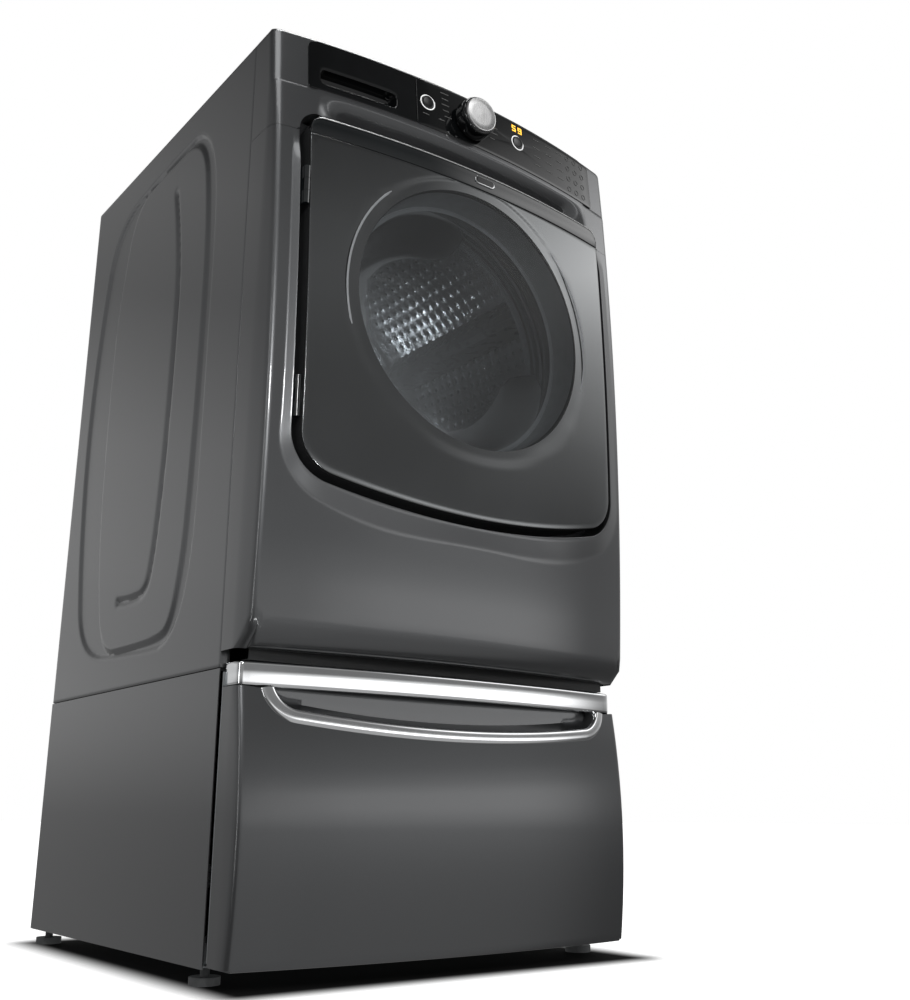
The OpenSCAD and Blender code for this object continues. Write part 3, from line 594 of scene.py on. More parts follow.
def door_pane():
    """The outer pane in two stretches: a smoked surround and the clear window."""
    side, _, _ = u_curve(DOOR_HALF, DOOR_LOW, STRIP_Z - STRIP_GAP, DOOR_ARCH, DOOR_CORNER,
                         40, 14, 60)
    top = stack(np.linspace(DOOR_HALF, -DOOR_HALF, 60)[1:-1], STRIP_Z - STRIP_GAP)
    outline = np.vstack([side, top])
    turn = np.arctan2(outline[:, 1] - DRUM_Z, outline[:, 0])
    circle = stack(WINDOW_R * np.cos(turn), DRUM_Z + WINDOW_R * np.sin(turn))
    rows = [at(outline, front_y, DOOR_PROUD - 3.2), at(outline, front_y, DOOR_PROUD - PANE_EDGE)]
    for step, rise in edge_steps(PANE_EDGE):
        rows.append(at(inset(outline, step), front_y, DOOR_PROUD - PANE_EDGE + rise))
    rim = inset(outline, PANE_EDGE)
    dish_r = WINDOW_R + 22
    for t in np.linspace(0, 1, 15)[1:]:
        p = rim + (circle - rim) * t
        r = np.hypot(p[:, 0], p[:, 1] - DRUM_Z)
        rows.append(at(p, front_y, DOOR_PROUD) + stack(0, 0.9 * smooth((dish_r - r) / 6), 0))
    surround = sheet(rows, wrap=True)
    centre = [0, DRUM_Z]
    inner = [at((circle - centre) * t + centre, front_y, DOOR_PROUD - 0.9)
             for t in np.linspace(1, 0.04, 16)]
    return [surround], [sheet(inner, wrap=True), fan(inner[-1])]


def strip_top(x):
    """Height of the handle strip's upper edge, with its round ends."""
    cut = np.clip(np.abs(x) - (DOOR_HALF - DOOR_TOP_R), 0, DOOR_TOP_R)
    return DOOR_HIGH - DOOR_TOP_R + np.sqrt(DOOR_TOP_R ** 2 - cut ** 2)


def handle_strip():
    """The strip across the door's top: a slim convex bar, thin at its upper edge."""
    bend_x = DOOR_HALF - DOOR_TOP_R
    x = np.hstack([np.linspace(-DOOR_HALF, -bend_x, 9), np.linspace(-bend_x, bend_x, 60)[1:-1],
                   np.linspace(bend_x, DOOR_HALF, 9)])
    rows = []
    for t, off in ((0, 2), (0, DOOR_PROUD - 0.8), (0.03, DOOR_PROUD), (0.3, DOOR_PROUD + 0.7),
                   (0.6, DOOR_PROUD + 0.9), (0.85, DOOR_PROUD + 1), (0.93, DOOR_PROUD + 1.2),
                   (0.97, DOOR_PROUD + 0.9), (1, DOOR_PROUD - 0.2), (1, 2)):
        z = STRIP_Z + STRIP_GAP + (strip_top(x) - STRIP_Z - STRIP_GAP) * t
        rows.append(at(stack(x, z), front_y, off))
    return [sheet(rows)]


def edge_line():
    """The bright polished edge along the top of the handle strip."""
    x = np.linspace(-DOOR_HALF + 12, DOOR_HALF - 8, 90)
    top = strip_top(x) - 0.6
    rows = []
    for a in np.radians(np.linspace(0, 360, 9)):
        y = front_y(x, top) - DOOR_PROUD - 0.9 - 1.1 * math.cos(a)
        rows.append(stack(x, y, top + 1.1 * math.sin(a)))
    return [sheet(rows)]


# ---- sides and top ----

# The side panels' stampings, as y and z: an outer and a middle contour and a hooked inner line.
OUTER_FRAME = [(119, 1299), (330, 1296), (548, 1280), (590, 1080), (609, 872), (590, 640),
               (547, 462), (330, 444), (119, 446), (112, 870)]
MIDDLE_FRAME = [(170, 1291), (320, 1290), (460, 1283), (500, 1130), (514, 1026), (512, 800),
                (497, 617), (454, 458), (330, 455), (225, 457), (178, 470), (150, 560), (141, 651),
                (134, 880), (137, 1107)]
INNER_LINE = [(275, 1225), (258, 1160), (240, 1060), (238, 959), (240, 800), (247, 674),
              (262, 570), (281, 536), (330, 533), (390, 537)]
TOP_EDGE_R = 8
STAMP = 4.2


def curved(points, closed):
    """The points joined by a smooth curve: their corners are cut three times."""
    p = np.array(points, float)
    for _ in range(3):
        q = np.vstack([p, p[:1]]) if closed else p
        cut = np.stack([q[:-1] * 0.75 + q[1:] * 0.25, q[:-1] * 0.25 + q[1:] * 0.75], 1)
        p = cut.reshape(-1, 2) if closed else np.vstack([p[:1], cut.reshape(-1, 2), p[-1:]])
    return np.vstack([p, p[:1]]) if closed else p


def away(points, line):
    """Distance of points from a line of points, and whether they are inside it."""
    best = np.full(len(points), 1e9)
    inside = np.zeros(len(points), bool)
    for a, b in zip(line[:-1], line[1:]):
        ab, ap = b - a, points - a
        t = np.clip((ap @ ab) / max(ab @ ab, 1e-9), 0, 1)
        best = np.minimum(best, np.hypot(*(ap - t[:, None] * ab).T))
        crossing = (a[1] > points[:, 1]) != (b[1] > points[:, 1])
        at_x = a[0] + (points[:, 1] - a[1]) * ab[0] / (ab[1] if ab[1] else 1e-9)
        inside ^= crossing & (points[:, 0] < at_x)
    return best, inside


def stamped(y, z):
    """How deep the stamping is: a sunk band between two contours, and a hooked groove inside."""
    points = stack(y.ravel(), z.ravel())
    depth = np.zeros(len(points))
    for frame_line, sign in ((OUTER_FRAME, 1), (MIDDLE_FRAME, -1)):
        d, inside = away(points, curved(frame_line, True))
        depth += sign * STAMP * smooth((np.where(inside, d, -d) + 4) / 8)
    d, _ = away(points, curved(INNER_LINE, False))
    depth += STAMP * 0.9 * np.exp(-(d / 5.5) ** 2)
    return depth.reshape(y.shape)


def side_shell(side):
    turn = np.radians(np.linspace(0, 90, 7))
    y = np.hstack([[SEAM_GAP, SEAM_GAP, SEAM_GAP + 0.4, SEAM_GAP + 1.4],
                   np.linspace(6, BACK_Y - 8, 170), [BACK_Y - 3, BACK_Y - 0.9, BACK_Y, BACK_Y]])
    in_y = np.hstack([[14, 1.4, 0.4, 0], np.zeros(170), [0, 0.9, 3, 22]])
    z = np.hstack([[SIDE_LOW, SIDE_LOW, SIDE_LOW + 0.4, SIDE_LOW + 1.4],
                   np.linspace(SIDE_LOW + 6, TOP_Z - TOP_EDGE_R - 3, 244),
                   TOP_Z - TOP_EDGE_R * (1 - np.sin(turn))])
    in_z = np.hstack([[14, 1.4, 0.4, 0], np.zeros(244), TOP_EDGE_R * (1 - np.cos(turn))])
    yy, zz = np.meshgrid(y, z)
    x = HALF_W - in_y[None] - in_z[:, None] - stamped(yy, zz)
    return [sheet(stack(side * x, yy, zz))]


def top_shell():
    edge = HALF_W - TOP_EDGE_R
    x = np.hstack([[-edge], np.linspace(-edge + 3, edge - 3, 24), [edge]])
    y = [SEAM_GAP, SEAM_GAP, SEAM_GAP + 1, 60, 330, 600, BACK_Y - 5, BACK_Y - 1.5, BACK_Y, BACK_Y]
    down = [10, 1, 0, 0, 0, 0, 0, 1.5, 5, 24]
    return [sheet([stack(x, a, TOP_Z - b) for a, b in zip(y, down)])]


# ---- control panel ----

EDGE_X = (low("dispenser_front", X), high("dispenser_front", X))
POCKET = (-271, -141, 1275, 1303)
MARK_LIFT = 0.35
KNOB_Z = 1306
POWER_AT = (-84, 1311)
START_AT = (106, 1313)


def resampled(outline, n):
    closed = np.vstack([outline, outline[:1]])
    run = np.hstack([[0], np.cumsum(np.hypot(*np.diff(closed, axis=0).T))])
    t = np.linspace(0, run[-1], n, endpoint=False)
    return stack(np.interp(t, run, closed[:, 0]), np.interp(t, run, closed[:, 1]))


def panel_plate(x0, x1, z0, z1, radii, hole=None):
    """Part of the black panel, with a pocket sunk in it if hole is given."""
    outline = dense(rounded(x0, x1, z0, z1, radii), 6)
    if hole is None:
        return plate(outline, front_y, 1, 4, edge=0.6)
    n = 160
    outline = resampled(outline, n)
    inner = resampled(rounded(*hole, 9), n)
    start = inset(outline, 0.6)
    rows = [at(outline, front_y, -3), at(outline, front_y, 0.4)]
    rows += [at(start + (inner - start) * t, front_y, 1) for t in np.linspace(0, 1, 8)]
    for step, off in ((0.5, 0.8), (0.9, 0.2), (1.2, -1), (2.5, -9), (5, -17), (9, -20),
                      (11, -20.6)):
        rows.append(at(inset(inner, step), front_y, off))
    return [sheet(rows, wrap=True), fan(rows[-1])]


def bar_mark(x0, x1, z0, z1):
    """A printed or lit bar on the black panel."""
    outline = dense(rounded(x0, x1, z0, z1, min(x1 - x0, z1 - z0) * 0.3, 2), 4)
    return plate(outline, front_y, 1 + MARK_LIFT, MARK_LIFT + 0.05, edge=0.08, rings=2,
                 back=False)


def digit(x, z, w, h, lit):
    """A seven segment digit; lit names its segments a to g."""
    t, m = w * 0.24, h / 2
    spots = {"a": (x, x + w, z + h - t, z + h), "b": (x + w - t, x + w, z + m, z + h),
             "c": (x + w - t, x + w, z, z + m), "d": (x, x + w, z, z + t),
             "e": (x, x + t, z, z + m), "f": (x, x + t, z + m, z + h),
             "g": (x, x + w, z + m - t / 2, z + m + t / 2)}
    return [part for key in lit for part in bar_mark(*spots[key])]


def knob_parts():
    y0, y1 = high("knob_cap", Y), low("knob_cap", Y)
    body = [(20, y0 + 22), (30, y0 + 23), (33.5, y0 + 22.4), (34, y0 + 21), (34, y0 + 16),
            (33.4, y0 + 8), (32.7, y0 + 2.2), (32, y0 + 0.8), (31, y0), (29.6, y0 - 0.2),
            (29.2, y0 + 1)]
    cap = [(29.2, y0 + 1), (29.2, y1 + 1), (28.8, y1 + 0.3), (28, y1), (27, y1 + 0.2),
           (26.4, y1 + 0.5), (18, y1 + 0.7), (9, y1 + 0.9), (0.2, y1 + 1.1)]
    return lathe(body, 0, KNOB_Z, 128), lathe(cap, 0, KNOB_Z, 128)


def button_parts(spot, node):
    y1 = low(node, Y)
    face = [(11.2, y1 + 14), (11.2, y1 + 1), (10.9, y1 + 0.3), (10.2, y1), (8.5, y1 + 0.25),
            (5, y1 + 0.5), (0.2, y1 + 0.6)]
    return lathe(face, spot[0], spot[1], 64)


# ---- pedestal ----

SCOOP_HALF = 300
SCOOP_LOW = 316
SCOOP_CORNER = 48
LIP_R = 9
# The lip's section: offset out from the scoop's edge, and how proud it stands of the drawer.
LIP_SECTION = ((9.6, -0.3), (9.3, 0.3), (8.6, 1.1), (7.2, 1.8), (4, 2.4), (0, 2.8), (-4, 2.9),
               (-6, 2.8), (-7.6, 2.2), (-8.7, 1), (-9.2, -1))
DRAWER_BACK = high("drawer_front", Y)
GRIP_BACK = -30
DRAWER_CORNER = DRAWER_HALF - 1.5
BAR_OFF = 23


def drawer_front_parts():
    """The drawer's skin, its recess, and the bright lip that curls round under the recess."""
    base, normal, counts = u_curve(SCOOP_HALF, SCOOP_LOW, DRAWER_HIGH, DRAWER_BOW_R, SCOOP_CORNER,
                                   0, 18, 72)
    edge = DRAWER_CORNER - CORNER_R
    border = u_border(base, counts, edge, DRAWER_LOW + 3)

    def ring(p, off=0.0):
        return at(p, drawer_y, off)

    def below(p, top):
        return stack(p[:, 0], np.minimum(p[:, 1], top))

    start = below(base + normal * LIP_R, DRAWER_HIGH)
    parts = [sheet([ring(start + (border - start) * t) for t in (
        0, 0.03, 0.08, 0.15, 0.24, 0.34, 0.45, 0.56, 0.67, 0.77, 0.86, 0.93, 0.97, 1)])]
    parts += corners(border, edge, drawer_y, DRAWER_CORNER, DRAWER_HALF,
                     lambda h: np.full_like(h, -34.0), DRAWER_BACK)
    under = ring(border[np.abs(border[:, 1] - DRAWER_LOW - 3) < 0.01])
    parts.append(sheet([under, under + [0, 1, -2.2], under + [0, 4, -3], under + [0, 50, -3]]))

    lip = [ring(below(base + normal * off, DRAWER_HIGH), proud) for off, proud in LIP_SECTION]
    recess = [ring(base - normal * (LIP_R + step), -sink)
              for step, sink in ((-0.4, 0.5), (1, 10), (3, 22))]
    wall = below(base - normal * (LIP_R + 12), DRAWER_HIGH - 1)
    recess.append(stack(wall[:, 0], GRIP_BACK, wall[:, 1]))
    top = recess[-1].copy()
    top[:, 2] = DRAWER_HIGH + 6
    recess += [recess[3] * (1 - t) + top * t for t in (0.3, 0.6, 1.0)]
    return parts, [sheet(lip)], [sheet(recess)]


def bowed_path(bow_r, bow_y, half, r, back):
    """Plan points along a bowed front and round its two corners, and their outward normals."""
    turn = np.arcsin(np.linspace(-(half - r), half - r, 80) / bow_r)
    normal = stack(np.sin(turn), -np.cos(turn))
    points = np.array([0, bow_y]) + bow_r * normal
    bend = np.linspace(turn[-1], math.pi / 2, 9)[1:]
    corner_n = stack(np.sin(bend), -np.cos(bend))
    corner = points[-1] - r * normal[-1] + r * corner_n
    wall = stack(corner[-1, 0], np.linspace(corner[-1, 1], back, 4)[1:])
    end, end_n = np.vstack([corner, wall]), np.vstack([corner_n, np.tile([1.0, 0.0], (3, 1))])
    flip = np.array([-1, 1])
    return (np.vstack([(end * flip)[::-1], points, end]),
            np.vstack([(end_n * flip)[::-1], normal, end_n]))


def handle_bar():
    """The polished bar: a convex face with round edges, carried round both corners."""
    points, normal = bowed_path(DRAWER_BOW_R - BAR_OFF, DRAWER_BOW_Y, DRAWER_HALF - 1, 13,
                                DRAWER_BACK)
    z0, z1 = DRAWER_HIGH, BAR_HIGH
    section = [(14, z0 + 1.5), (7, z0 + 0.3), (2.5, z0), (0.8, z0 + 0.8), (0.2, z0 + 2.4),
               (0, z0 + 5), (-0.2, z0 + 17), (0, z1 - 5), (0.3, z1 - 2.4), (1.2, z1 - 0.8),
               (3, z1), (16, z1)]
    return [sheet([stack(*(points - normal * depth).T, z) for depth, z in section])]


# ---- door glass, seal and drum ----

DRUM_R = 278
DRUM_FRONT = low("drum_shell", Y)
DRUM_BACK = 465
HOLE_CELL = 22
HOLE_R = 3.2
SPRING_WIRE = 1.8
SPRING_REACH = 14.8
SPRING_TURNS = 9


def bowl():
    outer = [(213, -60), (206, -59.5), (199, -56), (195, -46), (190, -30), (184, -6), (176, 20),
             (171, 38), (165, 50), (155, 60), (140, 66), (112, 71), (80, 74), (40, 75.6), (0.3, 76)]
    inner = [(0.3, 80), (40, 79.6), (82, 78), (114, 75), (143, 70), (158, 64), (169, 53), (175, 40),
             (180, 21), (188, -5), (194, -29), (199, -44), (203, -52), (207, -54.5), (213, -55)]
    return [lathe(outer + inner + outer[:1], n=128)]


def window_trim():
    return [lathe([(211.6, -106), (211.6, -84), (210.8, -68), (208, -59.8), (201, -58.6)], n=128),
            lathe([(234, -108.6), (233, -109.2), (231.5, -109.2), (230.5, -108.6)], n=128)]


def gasket():
    """The folded rubber seal: lip, bellows and the bead that grips the tub."""
    return [lathe([(226, -50), (230, -51), (235, -49), (235.5, -42), (234.5, -36), (231, -33),
                   (227, -31.5), (226.5, -30), (229, -27.5), (233, -24), (235, -20), (236, -15),
                   (235, -12.5), (229, -12.2), (224, -13), (222.5, -20), (220.5, -26), (216, -29.5),
                   (212.5, -31), (211.6, -32.5), (213, -34), (217, -35), (221, -37.5), (223, -43),
                   (224, -48), (226, -50)], n=160)]


def springs():
    """The two coil springs that hang the tub from the brace."""
    node, wire_r = "suspension_springs", SPRING_WIRE
    z0, z1 = low(node, Z), high(node, Z)
    centre = high(node, X) - SPRING_REACH
    middle = (low(node, Y) + high(node, Y)) / 2
    t = np.linspace(0, 1, SPRING_TURNS * 28 + 1)
    turn = 2 * math.pi * SPRING_TURNS * t
    parts = []
    for side in (-1, 1):
        rows = []
        for b in np.linspace(0, 2 * math.pi, 9):
            r = SPRING_REACH - wire_r + wire_r * math.cos(b)
            rise = z0 + wire_r + (z1 - z0 - 2 * wire_r) * t + wire_r * math.sin(b)
            rows.append(stack(side * centre + r * np.cos(turn), middle + r * np.sin(turn), rise))
        parts.append(sheet(rows))
    return parts


def hose():
    """The corrugated hose from the tub down to the pump."""
    z0, z1 = low("sump_hose", Z), high("sump_hose", Z)
    x = (low("sump_hose", X) + high("sump_hose", X)) / 2
    y = (low("sump_hose", Y) + high("sump_hose", Y)) / 2
    profile = [(18.6, z0), (21.5, z0), (21.5, z0 + 20)]
    for z in np.linspace(z0 + 24, z1 - 22, 97):
        profile.append((22.2 + 1.2 * math.sin((z - z0) / 12 * 2 * math.pi), z))
    profile += [(21.5, z1 - 18), (21.5, z1), (18.6, z1)]
    r, z = np.array(profile).T
    a = np.linspace(0, 2 * math.pi, 48, endpoint=False)
    return [sheet(stack(x + np.outer(r, np.cos(a)), y + np.outer(r, np.sin(a)), z[:, None]),
                  wrap=True)]


def perforated_wall():
    """The drum's wall as a net of cells, each with a round hole in it."""
    around = round(2 * math.pi * DRUM_R / HOLE_CELL)
    rows = int((DRUM_BACK - DRUM_FRONT - 60) / HOLE_CELL)
    first = DRUM_FRONT + 30
    unit = [(math.cos(a), math.sin(a)) for a in [math.radians(45 * k) for k in range(8)]]
    h = HOLE_CELL / 2
    rim = [(h, 0), (h, h), (0, h), (-h, h), (-h, 0), (-h, -h), (0, -h), (h, -h)]
    verts, faces = [], []
    for i in range(around):
        for j in range(rows):
            base = len(verts)
            for ring, size, sink in ((rim, 1, 0), (unit, HOLE_R + 2, 0), (unit, HOLE_R, 1)):
                for u, v in ring:
                    a = (i * HOLE_CELL + u * size) / (around * HOLE_CELL) * 2 * math.pi
                    r = DRUM_R - 1 + sink
                    verts.append((r * math.cos(a), first + (j + 0.5) * HOLE_CELL + v * size,
                                  DRUM_Z + r * math.sin(a)))
            for k in range(8):
                for level in (0, 8):
                    here, there = base + level + k, base + level + (k + 1) % 8
                    faces.append([here, there, there + 8, here + 8])
    back = [(r, DRUM_BACK - ahead) for r, ahead in (
        (DRUM_R - 2, 12), (DRUM_R - 8, 4), (DRUM_R - 20, 1), (225, 1), (219, 7), (208, 8),
        (202, 2), (150, 1.5), (144, 8), (132, 9), (126, 3), (60, 4), (52, 12), (30, 14),
        (0.3, 14))]
    return [(np.array(verts), faces),
            lathe([(DRUM_R - 1, DRUM_FRONT), (DRUM_R - 1, first)], n=2 * around),
            lathe([(DRUM_R - 1, first + rows * HOLE_CELL)] + back, n=2 * around)]


# ---- build ----

AHEAD = (0, -4000, 900)
piece("front_shell", front_shell(), paint, "cabinet", ["front_panel"], sharp=40,
      outside=AHEAD)
piece("console_shell", console_shell(), paint, "cabinet", ["console_fascia"],
      sharp=40, outside=AHEAD)
for side, name in ((-1, "left"), (1, "right")):
    piece(f"side_shell_{name}", side_shell(side), paint, "cabinet",
          [f"side_panel_{name}"], outside=(side * 4000, 300, 800))
piece("top_shell", top_shell(), paint, "cabinet", ["top_panel"],
      outside=(0, 300, 4000))
surround, window = door_pane()
piece("door_surround", surround, smoke, "door", ["door_panel"], sharp=50,
      outside=AHEAD)
piece("door_window", window, tinted, "door", outside=AHEAD)
piece("door_strip", handle_strip(), strip_black, "door", ["door_handle_strip"],
      outside=AHEAD, thick=1.0)
piece("door_strip_edge", edge_line(), brushed, "door")
badge = dense(rounded(-4, 36, 1186, 1200, 7), 3)
piece("door_badge", plate(badge, front_y, DOOR_PROUD + 2.6, 2, edge=0.7, back=False), chrome,
      "door")
piece("door_badge_face", plate(inset(badge, 1.4), front_y, DOOR_PROUD + 2.9, 1, edge=0.2,
                               back=False), gloss_black, "door")

piece("panel_dispenser", panel_plate(EDGE_X[0], EDGE_X[1] - 0.2, CONTROL_LOW, CONTROL_HIGH,
                                     (1, 1, 14, 4), POCKET),
      gloss_black, "dispenser", ["dispenser_front"])
piece("panel_main", panel_plate(EDGE_X[1] + 0.8, PANEL_X[1], CONTROL_LOW, CONTROL_HIGH,
                                (3, 6, 1, 1)),
      gloss_black, "cabinet", ["control_panel"])
body, cap = knob_parts()
piece("knob_grip", [body], gloss_black, "knob", ["knob_body"])
piece("knob_face", [cap], brushed, "knob", ["knob_cap"])
for name, spot in (("power", POWER_AT), ("start", START_AT)):
    node = f"{name}_button"
    piece(f"{name}_face", [button_parts(spot, node)], gloss_black, f"{name}_key",
          [node])
    # The rings round the keys are white print with a painted glow.
    piece(f"{name}_ring", ring_mark(*spot, 13, 1.8), white_mark_painted_glow, "cabinet")
piece("time_digits", digit(95, 1334, 9, 12, "acdfg") + digit(109, 1334, 9, 12, "abcdfg"), amber,
      "cabinet")
labels = []
for bars, low_z, high_z, pitch in (
        (((-58, 16), (-56, 13), (-57, 15), (-55, 12), (-52, 14)), 1341, 1342.6, 11),
        (((44, 12), (46, 14), (44, 16), (42, 10)), 1331, 1332.6, 12)):
    for i, (x, w) in enumerate(bars):
        labels += bar_mark(x, x + w, low_z - pitch * i, high_z - pitch * i)
for x in (146, 176, 206):
    for z in (1339, 1322, 1305, 1288):
        labels += bar_mark(x, x + 15, z, z + 1.4)
for x in (-102, -72):
    labels += bar_mark(x + 8, x + 20, 1287, 1288.4)
piece("panel_legends", labels, dim_mark, "cabinet")
keys = []
for x in (236, 256, 276):
    for z in (1341, 1320, 1299, 1278):
        keys += ring_mark(x, z, 4.6, 0.8, n=20)
piece("touch_keys", keys, dim_mark, "cabinet")

skin, lip, recess = drawer_front_parts()
piece("drawer_skin", skin, paint, "drawer", ["drawer_front"], sharp=50,
      outside=AHEAD)
piece("drawer_lip", lip, satin, "drawer", sharp=80)
piece("drawer_recess", recess, paint, "drawer", sharp=50)
piece("drawer_bar", handle_bar(), chrome, "drawer", ["drawer_handle_bar"], sharp=60)

piece("door_bowl", bowl(), clear, "door", ["door_glass"], sharp=60)
piece("window_trim", window_trim(), grey_plastic, "door")
for obj, fixed, hung in (
        (piece("door_seal", gasket(), rubber, None, ["door_gasket"], sharp=60),
         (0, -48, DRUM_Z), (0, -14, DRUM_Z)),
        (piece("tub_springs", springs(), steel, None, ["suspension_springs"]),
         (0, 260, high("suspension_springs", Z) - 4), (0, 260, low("suspension_springs", Z) + 4)),
        (piece("tub_hose", hose(), rubber, None, ["sump_hose"], sharp=60),
         (0, 60, low("sump_hose", Z) + 24), (0, 60, high("sump_hose", Z) - 20))):
    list(row([fixed, hung]).tolist())
    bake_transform(obj)
piece("drum_wall", perforated_wall(), drum_steel, "drum", ["drum_shell"],
      outside=(0, 200, DRUM_Z))

# The frame's own shapes that stay in sight.
for mat, names in (
    (paint, "pedestal_panels"),
    (inner_paint, "front_bulkhead"),
    (zinc, "rear_panel rear_cover top_brace door_strike pedestal_base drawer_rails drawer_box"),
    (strip_black, "door_hinge_base door_hinge_leaf"),
    (gloss_black, "cord_inlet"),
    # The base pan is dark so that the gap under the washer's front reads black: painted shade.
    (dark_plastic_and_gap_shade, "base_pan door_frame"),
    (grey_plastic, "dispenser_housing dispenser_tray tub_front tub_rear drain_pump"),
    (baffle_plastic, "drum_baffles"),
    (pale_plastic, "inlet_valves door_lock"),
    (circuit, "control_board"),
    (rubber, "drain_tube drive_belt foot_front_left foot_front_right foot_rear_left"
             " foot_rear_right"),
    (steel, "cabinet_screws tub_bearings water_heater damper_rods motor_rotor"),
    (drum_steel, "drum_front_ring"),
    (cast_alloy, "drum_spider drum_pulley"),
    (motor_paint, "drive_motor damper_cylinders"),
    (concrete, "counterweights"),
):
    for name in names.split():
        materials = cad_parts[name].data.materials
        materials.clear()
        materials.append(mat)

# ---- stage ----

# The floor's painted shadow: its dark middle, as half its width and depth, and how far it fades
# out, in metres.
PAINTED_SHADOW_HALF = (0.33, 0.355, 0)
PAINTED_SHADOW_FADE = 0.085
FLOOR_HALF = 30


def greys(ramp, stops):
    """Gives a colour ramp its stops: a place and a grey for each."""
    while len(ramp.color_ramp.elements) < len(stops):
        ramp.color_ramp.elements.new(0.5)
    for stop, (place, grey) in zip(ramp.color_ramp.elements, stops):
        stop.position = place
        stop.color = (grey, grey, grey, 1)
    return ramp


def floor_with_painted_shadow():
    """A white floor that glows away from the machine and is painted near black round it: a painted
    contact shadow.
    """
    mat = bpy.data.materials.new("floor_painted_shadow")
    nodes, add = wire(mat)
    coords = add("ShaderNodeTexCoord", {})
    aside = add(VECTOR_MATH, {0: coords.outputs["Object"]}, "ABSOLUTE")
    beyond = add(VECTOR_MATH, {0: aside, 1: PAINTED_SHADOW_HALF}, "SUBTRACT")
    outside = add(VECTOR_MATH, {0: beyond, 1: (0, 0, 0)}, "MAXIMUM")
    reach = add(VECTOR_MATH, {0: outside}, "LENGTH")
    glow = add("ShaderNodeMapRange", {"Value": reach.outputs["Value"], "From Max": PAINTED_SHADOW_FADE})
    glow.interpolation_type = "SMOOTHSTEP"
    # Painted shadow: near black round the machine, fading to white and to a glow further out.
    painted_shadow_tone = greys(add("ShaderNodeValToRGB", {"Fac": glow}), ((0, 0.004), (1, 0.9)))
    add(nodes["Principled BSDF"], {
        "Base Color": painted_shadow_tone, "Roughness": 0.9, "Specular IOR Level": 0.1,
        "Emission Color": (1, 1, 1, 1), "Emission Strength": glow})
    return mat


def area_light(name, spot, aim, size, power):
    light = bpy.data.lights.new(name, "AREA")
    light.shape = "RECTANGLE"
    light.size, light.size_y = size
    light.energy = power
    obj = placed(name, light)
    obj.location = spot
    obj.rotation_euler = (Vector(aim) - Vector(spot)).to_track_quat("-Z", "Y").to_euler()
    return obj


area_light("key", (-2.0, -3.0, 4.8), (0, -0.3, 0.7), (2.6, 1.4), 34)
area_light("overhead", (0.1, -0.5, 3.8), (0, -0.3, 0.9), (2.2, 0.7), 45)
area_light("edge_left", (-2.6, -1.9, 1.0), (-0.34, -0.3, 0.8), (0.16, 2.4), 7)
area_light("drum_glow", (-1.3, -2.7, 1.7), (0.05, 0.1, 0.95), (0.22, 0.22), 14)
# A narrow beam, so that it lights the drum and leaves the panels round the door alone.
drum_fill = area_light("drum_fill", (-0.75, -2.0, 0.12), (0.05, 0.1, 1.08), (0.22, 0.22), 0.36)
drum_fill.data.spread = math.radians(26)

floor_mesh = bpy.data.meshes.new("floor")
floor_mesh.from_pydata([(x * FLOOR_HALF, y * FLOOR_HALF, 0)
                        for x, y in ((-1, -1), (1, -1), (1, 1), (-1, 1))], [], [(0, 1, 2, 3)])
floor = placed("floor", floor_mesh)
floor.data.materials.append(floor_with_painted_shadow())
floor.visible_diffuse = False
floor.visible_glossy = False

world = bpy.data.worlds.new("studio")
bpy.context.scene.world = world
nodes, add = wire(world)
coords = add("ShaderNodeTexCoord", {})
split = add("ShaderNodeSeparateXYZ", {"Vector": coords.outputs["Generated"]})
level = add(VECTOR_MATH, {0: coords.outputs["Generated"], 1: (1, 1, 0)}, "MULTIPLY")
flat = add(VECTOR_MATH, {0: level}, "NORMALIZE")


def sky_band(stops, direction, start, end, aside, facing):
    """A band of light. stops give its grey at heights, as the sine of the elevation; its strength
    goes from aside to facing while the cosine to a compass direction goes from start to end."""
    ramp = greys(add("ShaderNodeValToRGB", {"Fac": split.outputs["Z"]}), stops)
    dot = add(VECTOR_MATH, {0: flat, 1: (*direction, 0)}, "DOT_PRODUCT")
    share = add("ShaderNodeMapRange", {"Value": dot.outputs["Value"], "From Min": start,
                                       "From Max": end, "To Min": aside, "To Max": facing})
    share.interpolation_type = "SMOOTHSTEP"
    return add(VECTOR_MATH, {0: ramp, "Scale": share}, "SCALE")


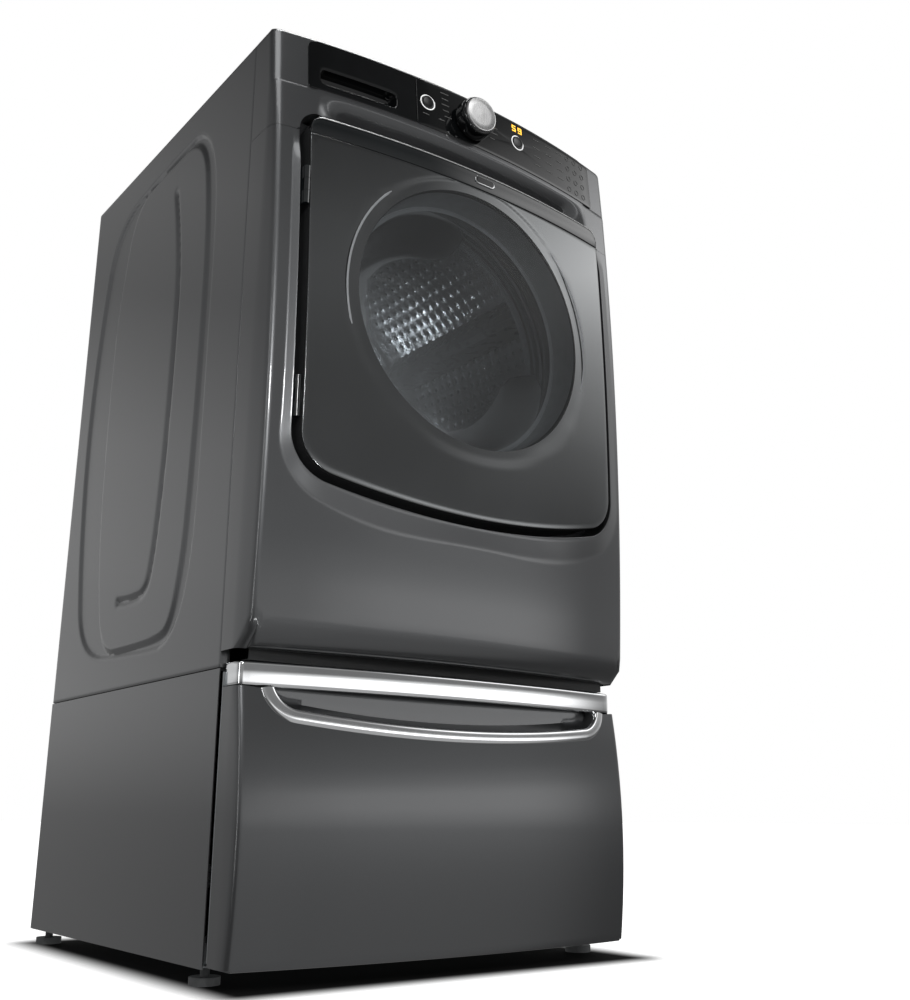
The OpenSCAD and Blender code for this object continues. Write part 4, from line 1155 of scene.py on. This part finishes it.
FILL = ((0, 0.1), (0.1, 0.5), (0.5, 0.4), (0.8, 0.1), (1, 0.05))
total, *others = [sky_band(*band) for band in (
    # high, ahead of the machine and to the right
    (((0, 0), (0.20, 0.0), (0.30, 0.10), (0.42, 0.45), (0.50, 1.0), (0.57, 0.6), (0.65, 0.06),
      (1, 0.02)), (0.87, -0.5), 0.86, 0.998, 0.25, 2.3),
    # low, ahead and to the right
    (((0, 0.17), (0.03, 0.65), (0.06, 1.0), (0.10, 1.0), (0.13, 0.4), (0.17, 0.04), (0.6, 0.03),
      (1, 0.03)), (0.574, -0.819), 0.89, 0.985, 0.14, 2.1),
    # low, straight ahead
    (((0, 0.35), (0.04, 1.0), (0.10, 0.7), (0.16, 0.1), (0.5, 0.05), (1, 0)),
     (0.03, -0.9996), 0.95, 0.998, 0.0, 1.0),
    # to the left and behind
    (((0, 0.3), (0.08, 0.55), (0.20, 0.72), (0.30, 0.62), (0.42, 0.15), (0.55, 0.10), (0.8, 0.05),
      (1, 0.03)), (-0.7, 0.71), 0.2, 0.9, 0.12, 0.8),
    # fills
    (FILL, (-0.6, -0.8), 0.80, 0.98, 0.0, 0.3),
    (FILL, (0.85, 0.53), 0.3, 0.9, 0.0, 0.8),
)]
for other in others:
    total = add(VECTOR_MATH, {0: total, 1: other})
lit = add(nodes["Background"], {"Color": total})
seen = add("ShaderNodeBackground", {"Color": (1, 1, 1, 1)})
path = add("ShaderNodeLightPath", {})
pick = add("ShaderNodeMixShader", {0: path.outputs["Is Camera Ray"], 1: lit, 2: seen})
add(nodes["World Output"], {"Surface": pick})

# ---- camera ----

LENS = 40.94
CAMERA_AT = (-1.0081, -1.6690, 0.2067)
# TILT is measured from looking straight down.
COMPASS, TILT, ROLL = (math.radians(angle) for angle in (-37.23, 105.53, 0.29))
camera_data = bpy.data.cameras.new("camera")
camera_data.lens = LENS
camera = placed("camera", camera_data)
turn = Matrix.Rotation(COMPASS, 4, "Z") @ Matrix.Rotation(TILT, 4, "X")
camera.matrix_world = Matrix.Translation(CAMERA_AT) @ turn @ Matrix.Rotation(ROLL, 4, "Z")
bpy.context.scene.camera = camera
bpy.context.scene.view_settings.view_transform = "Standard"
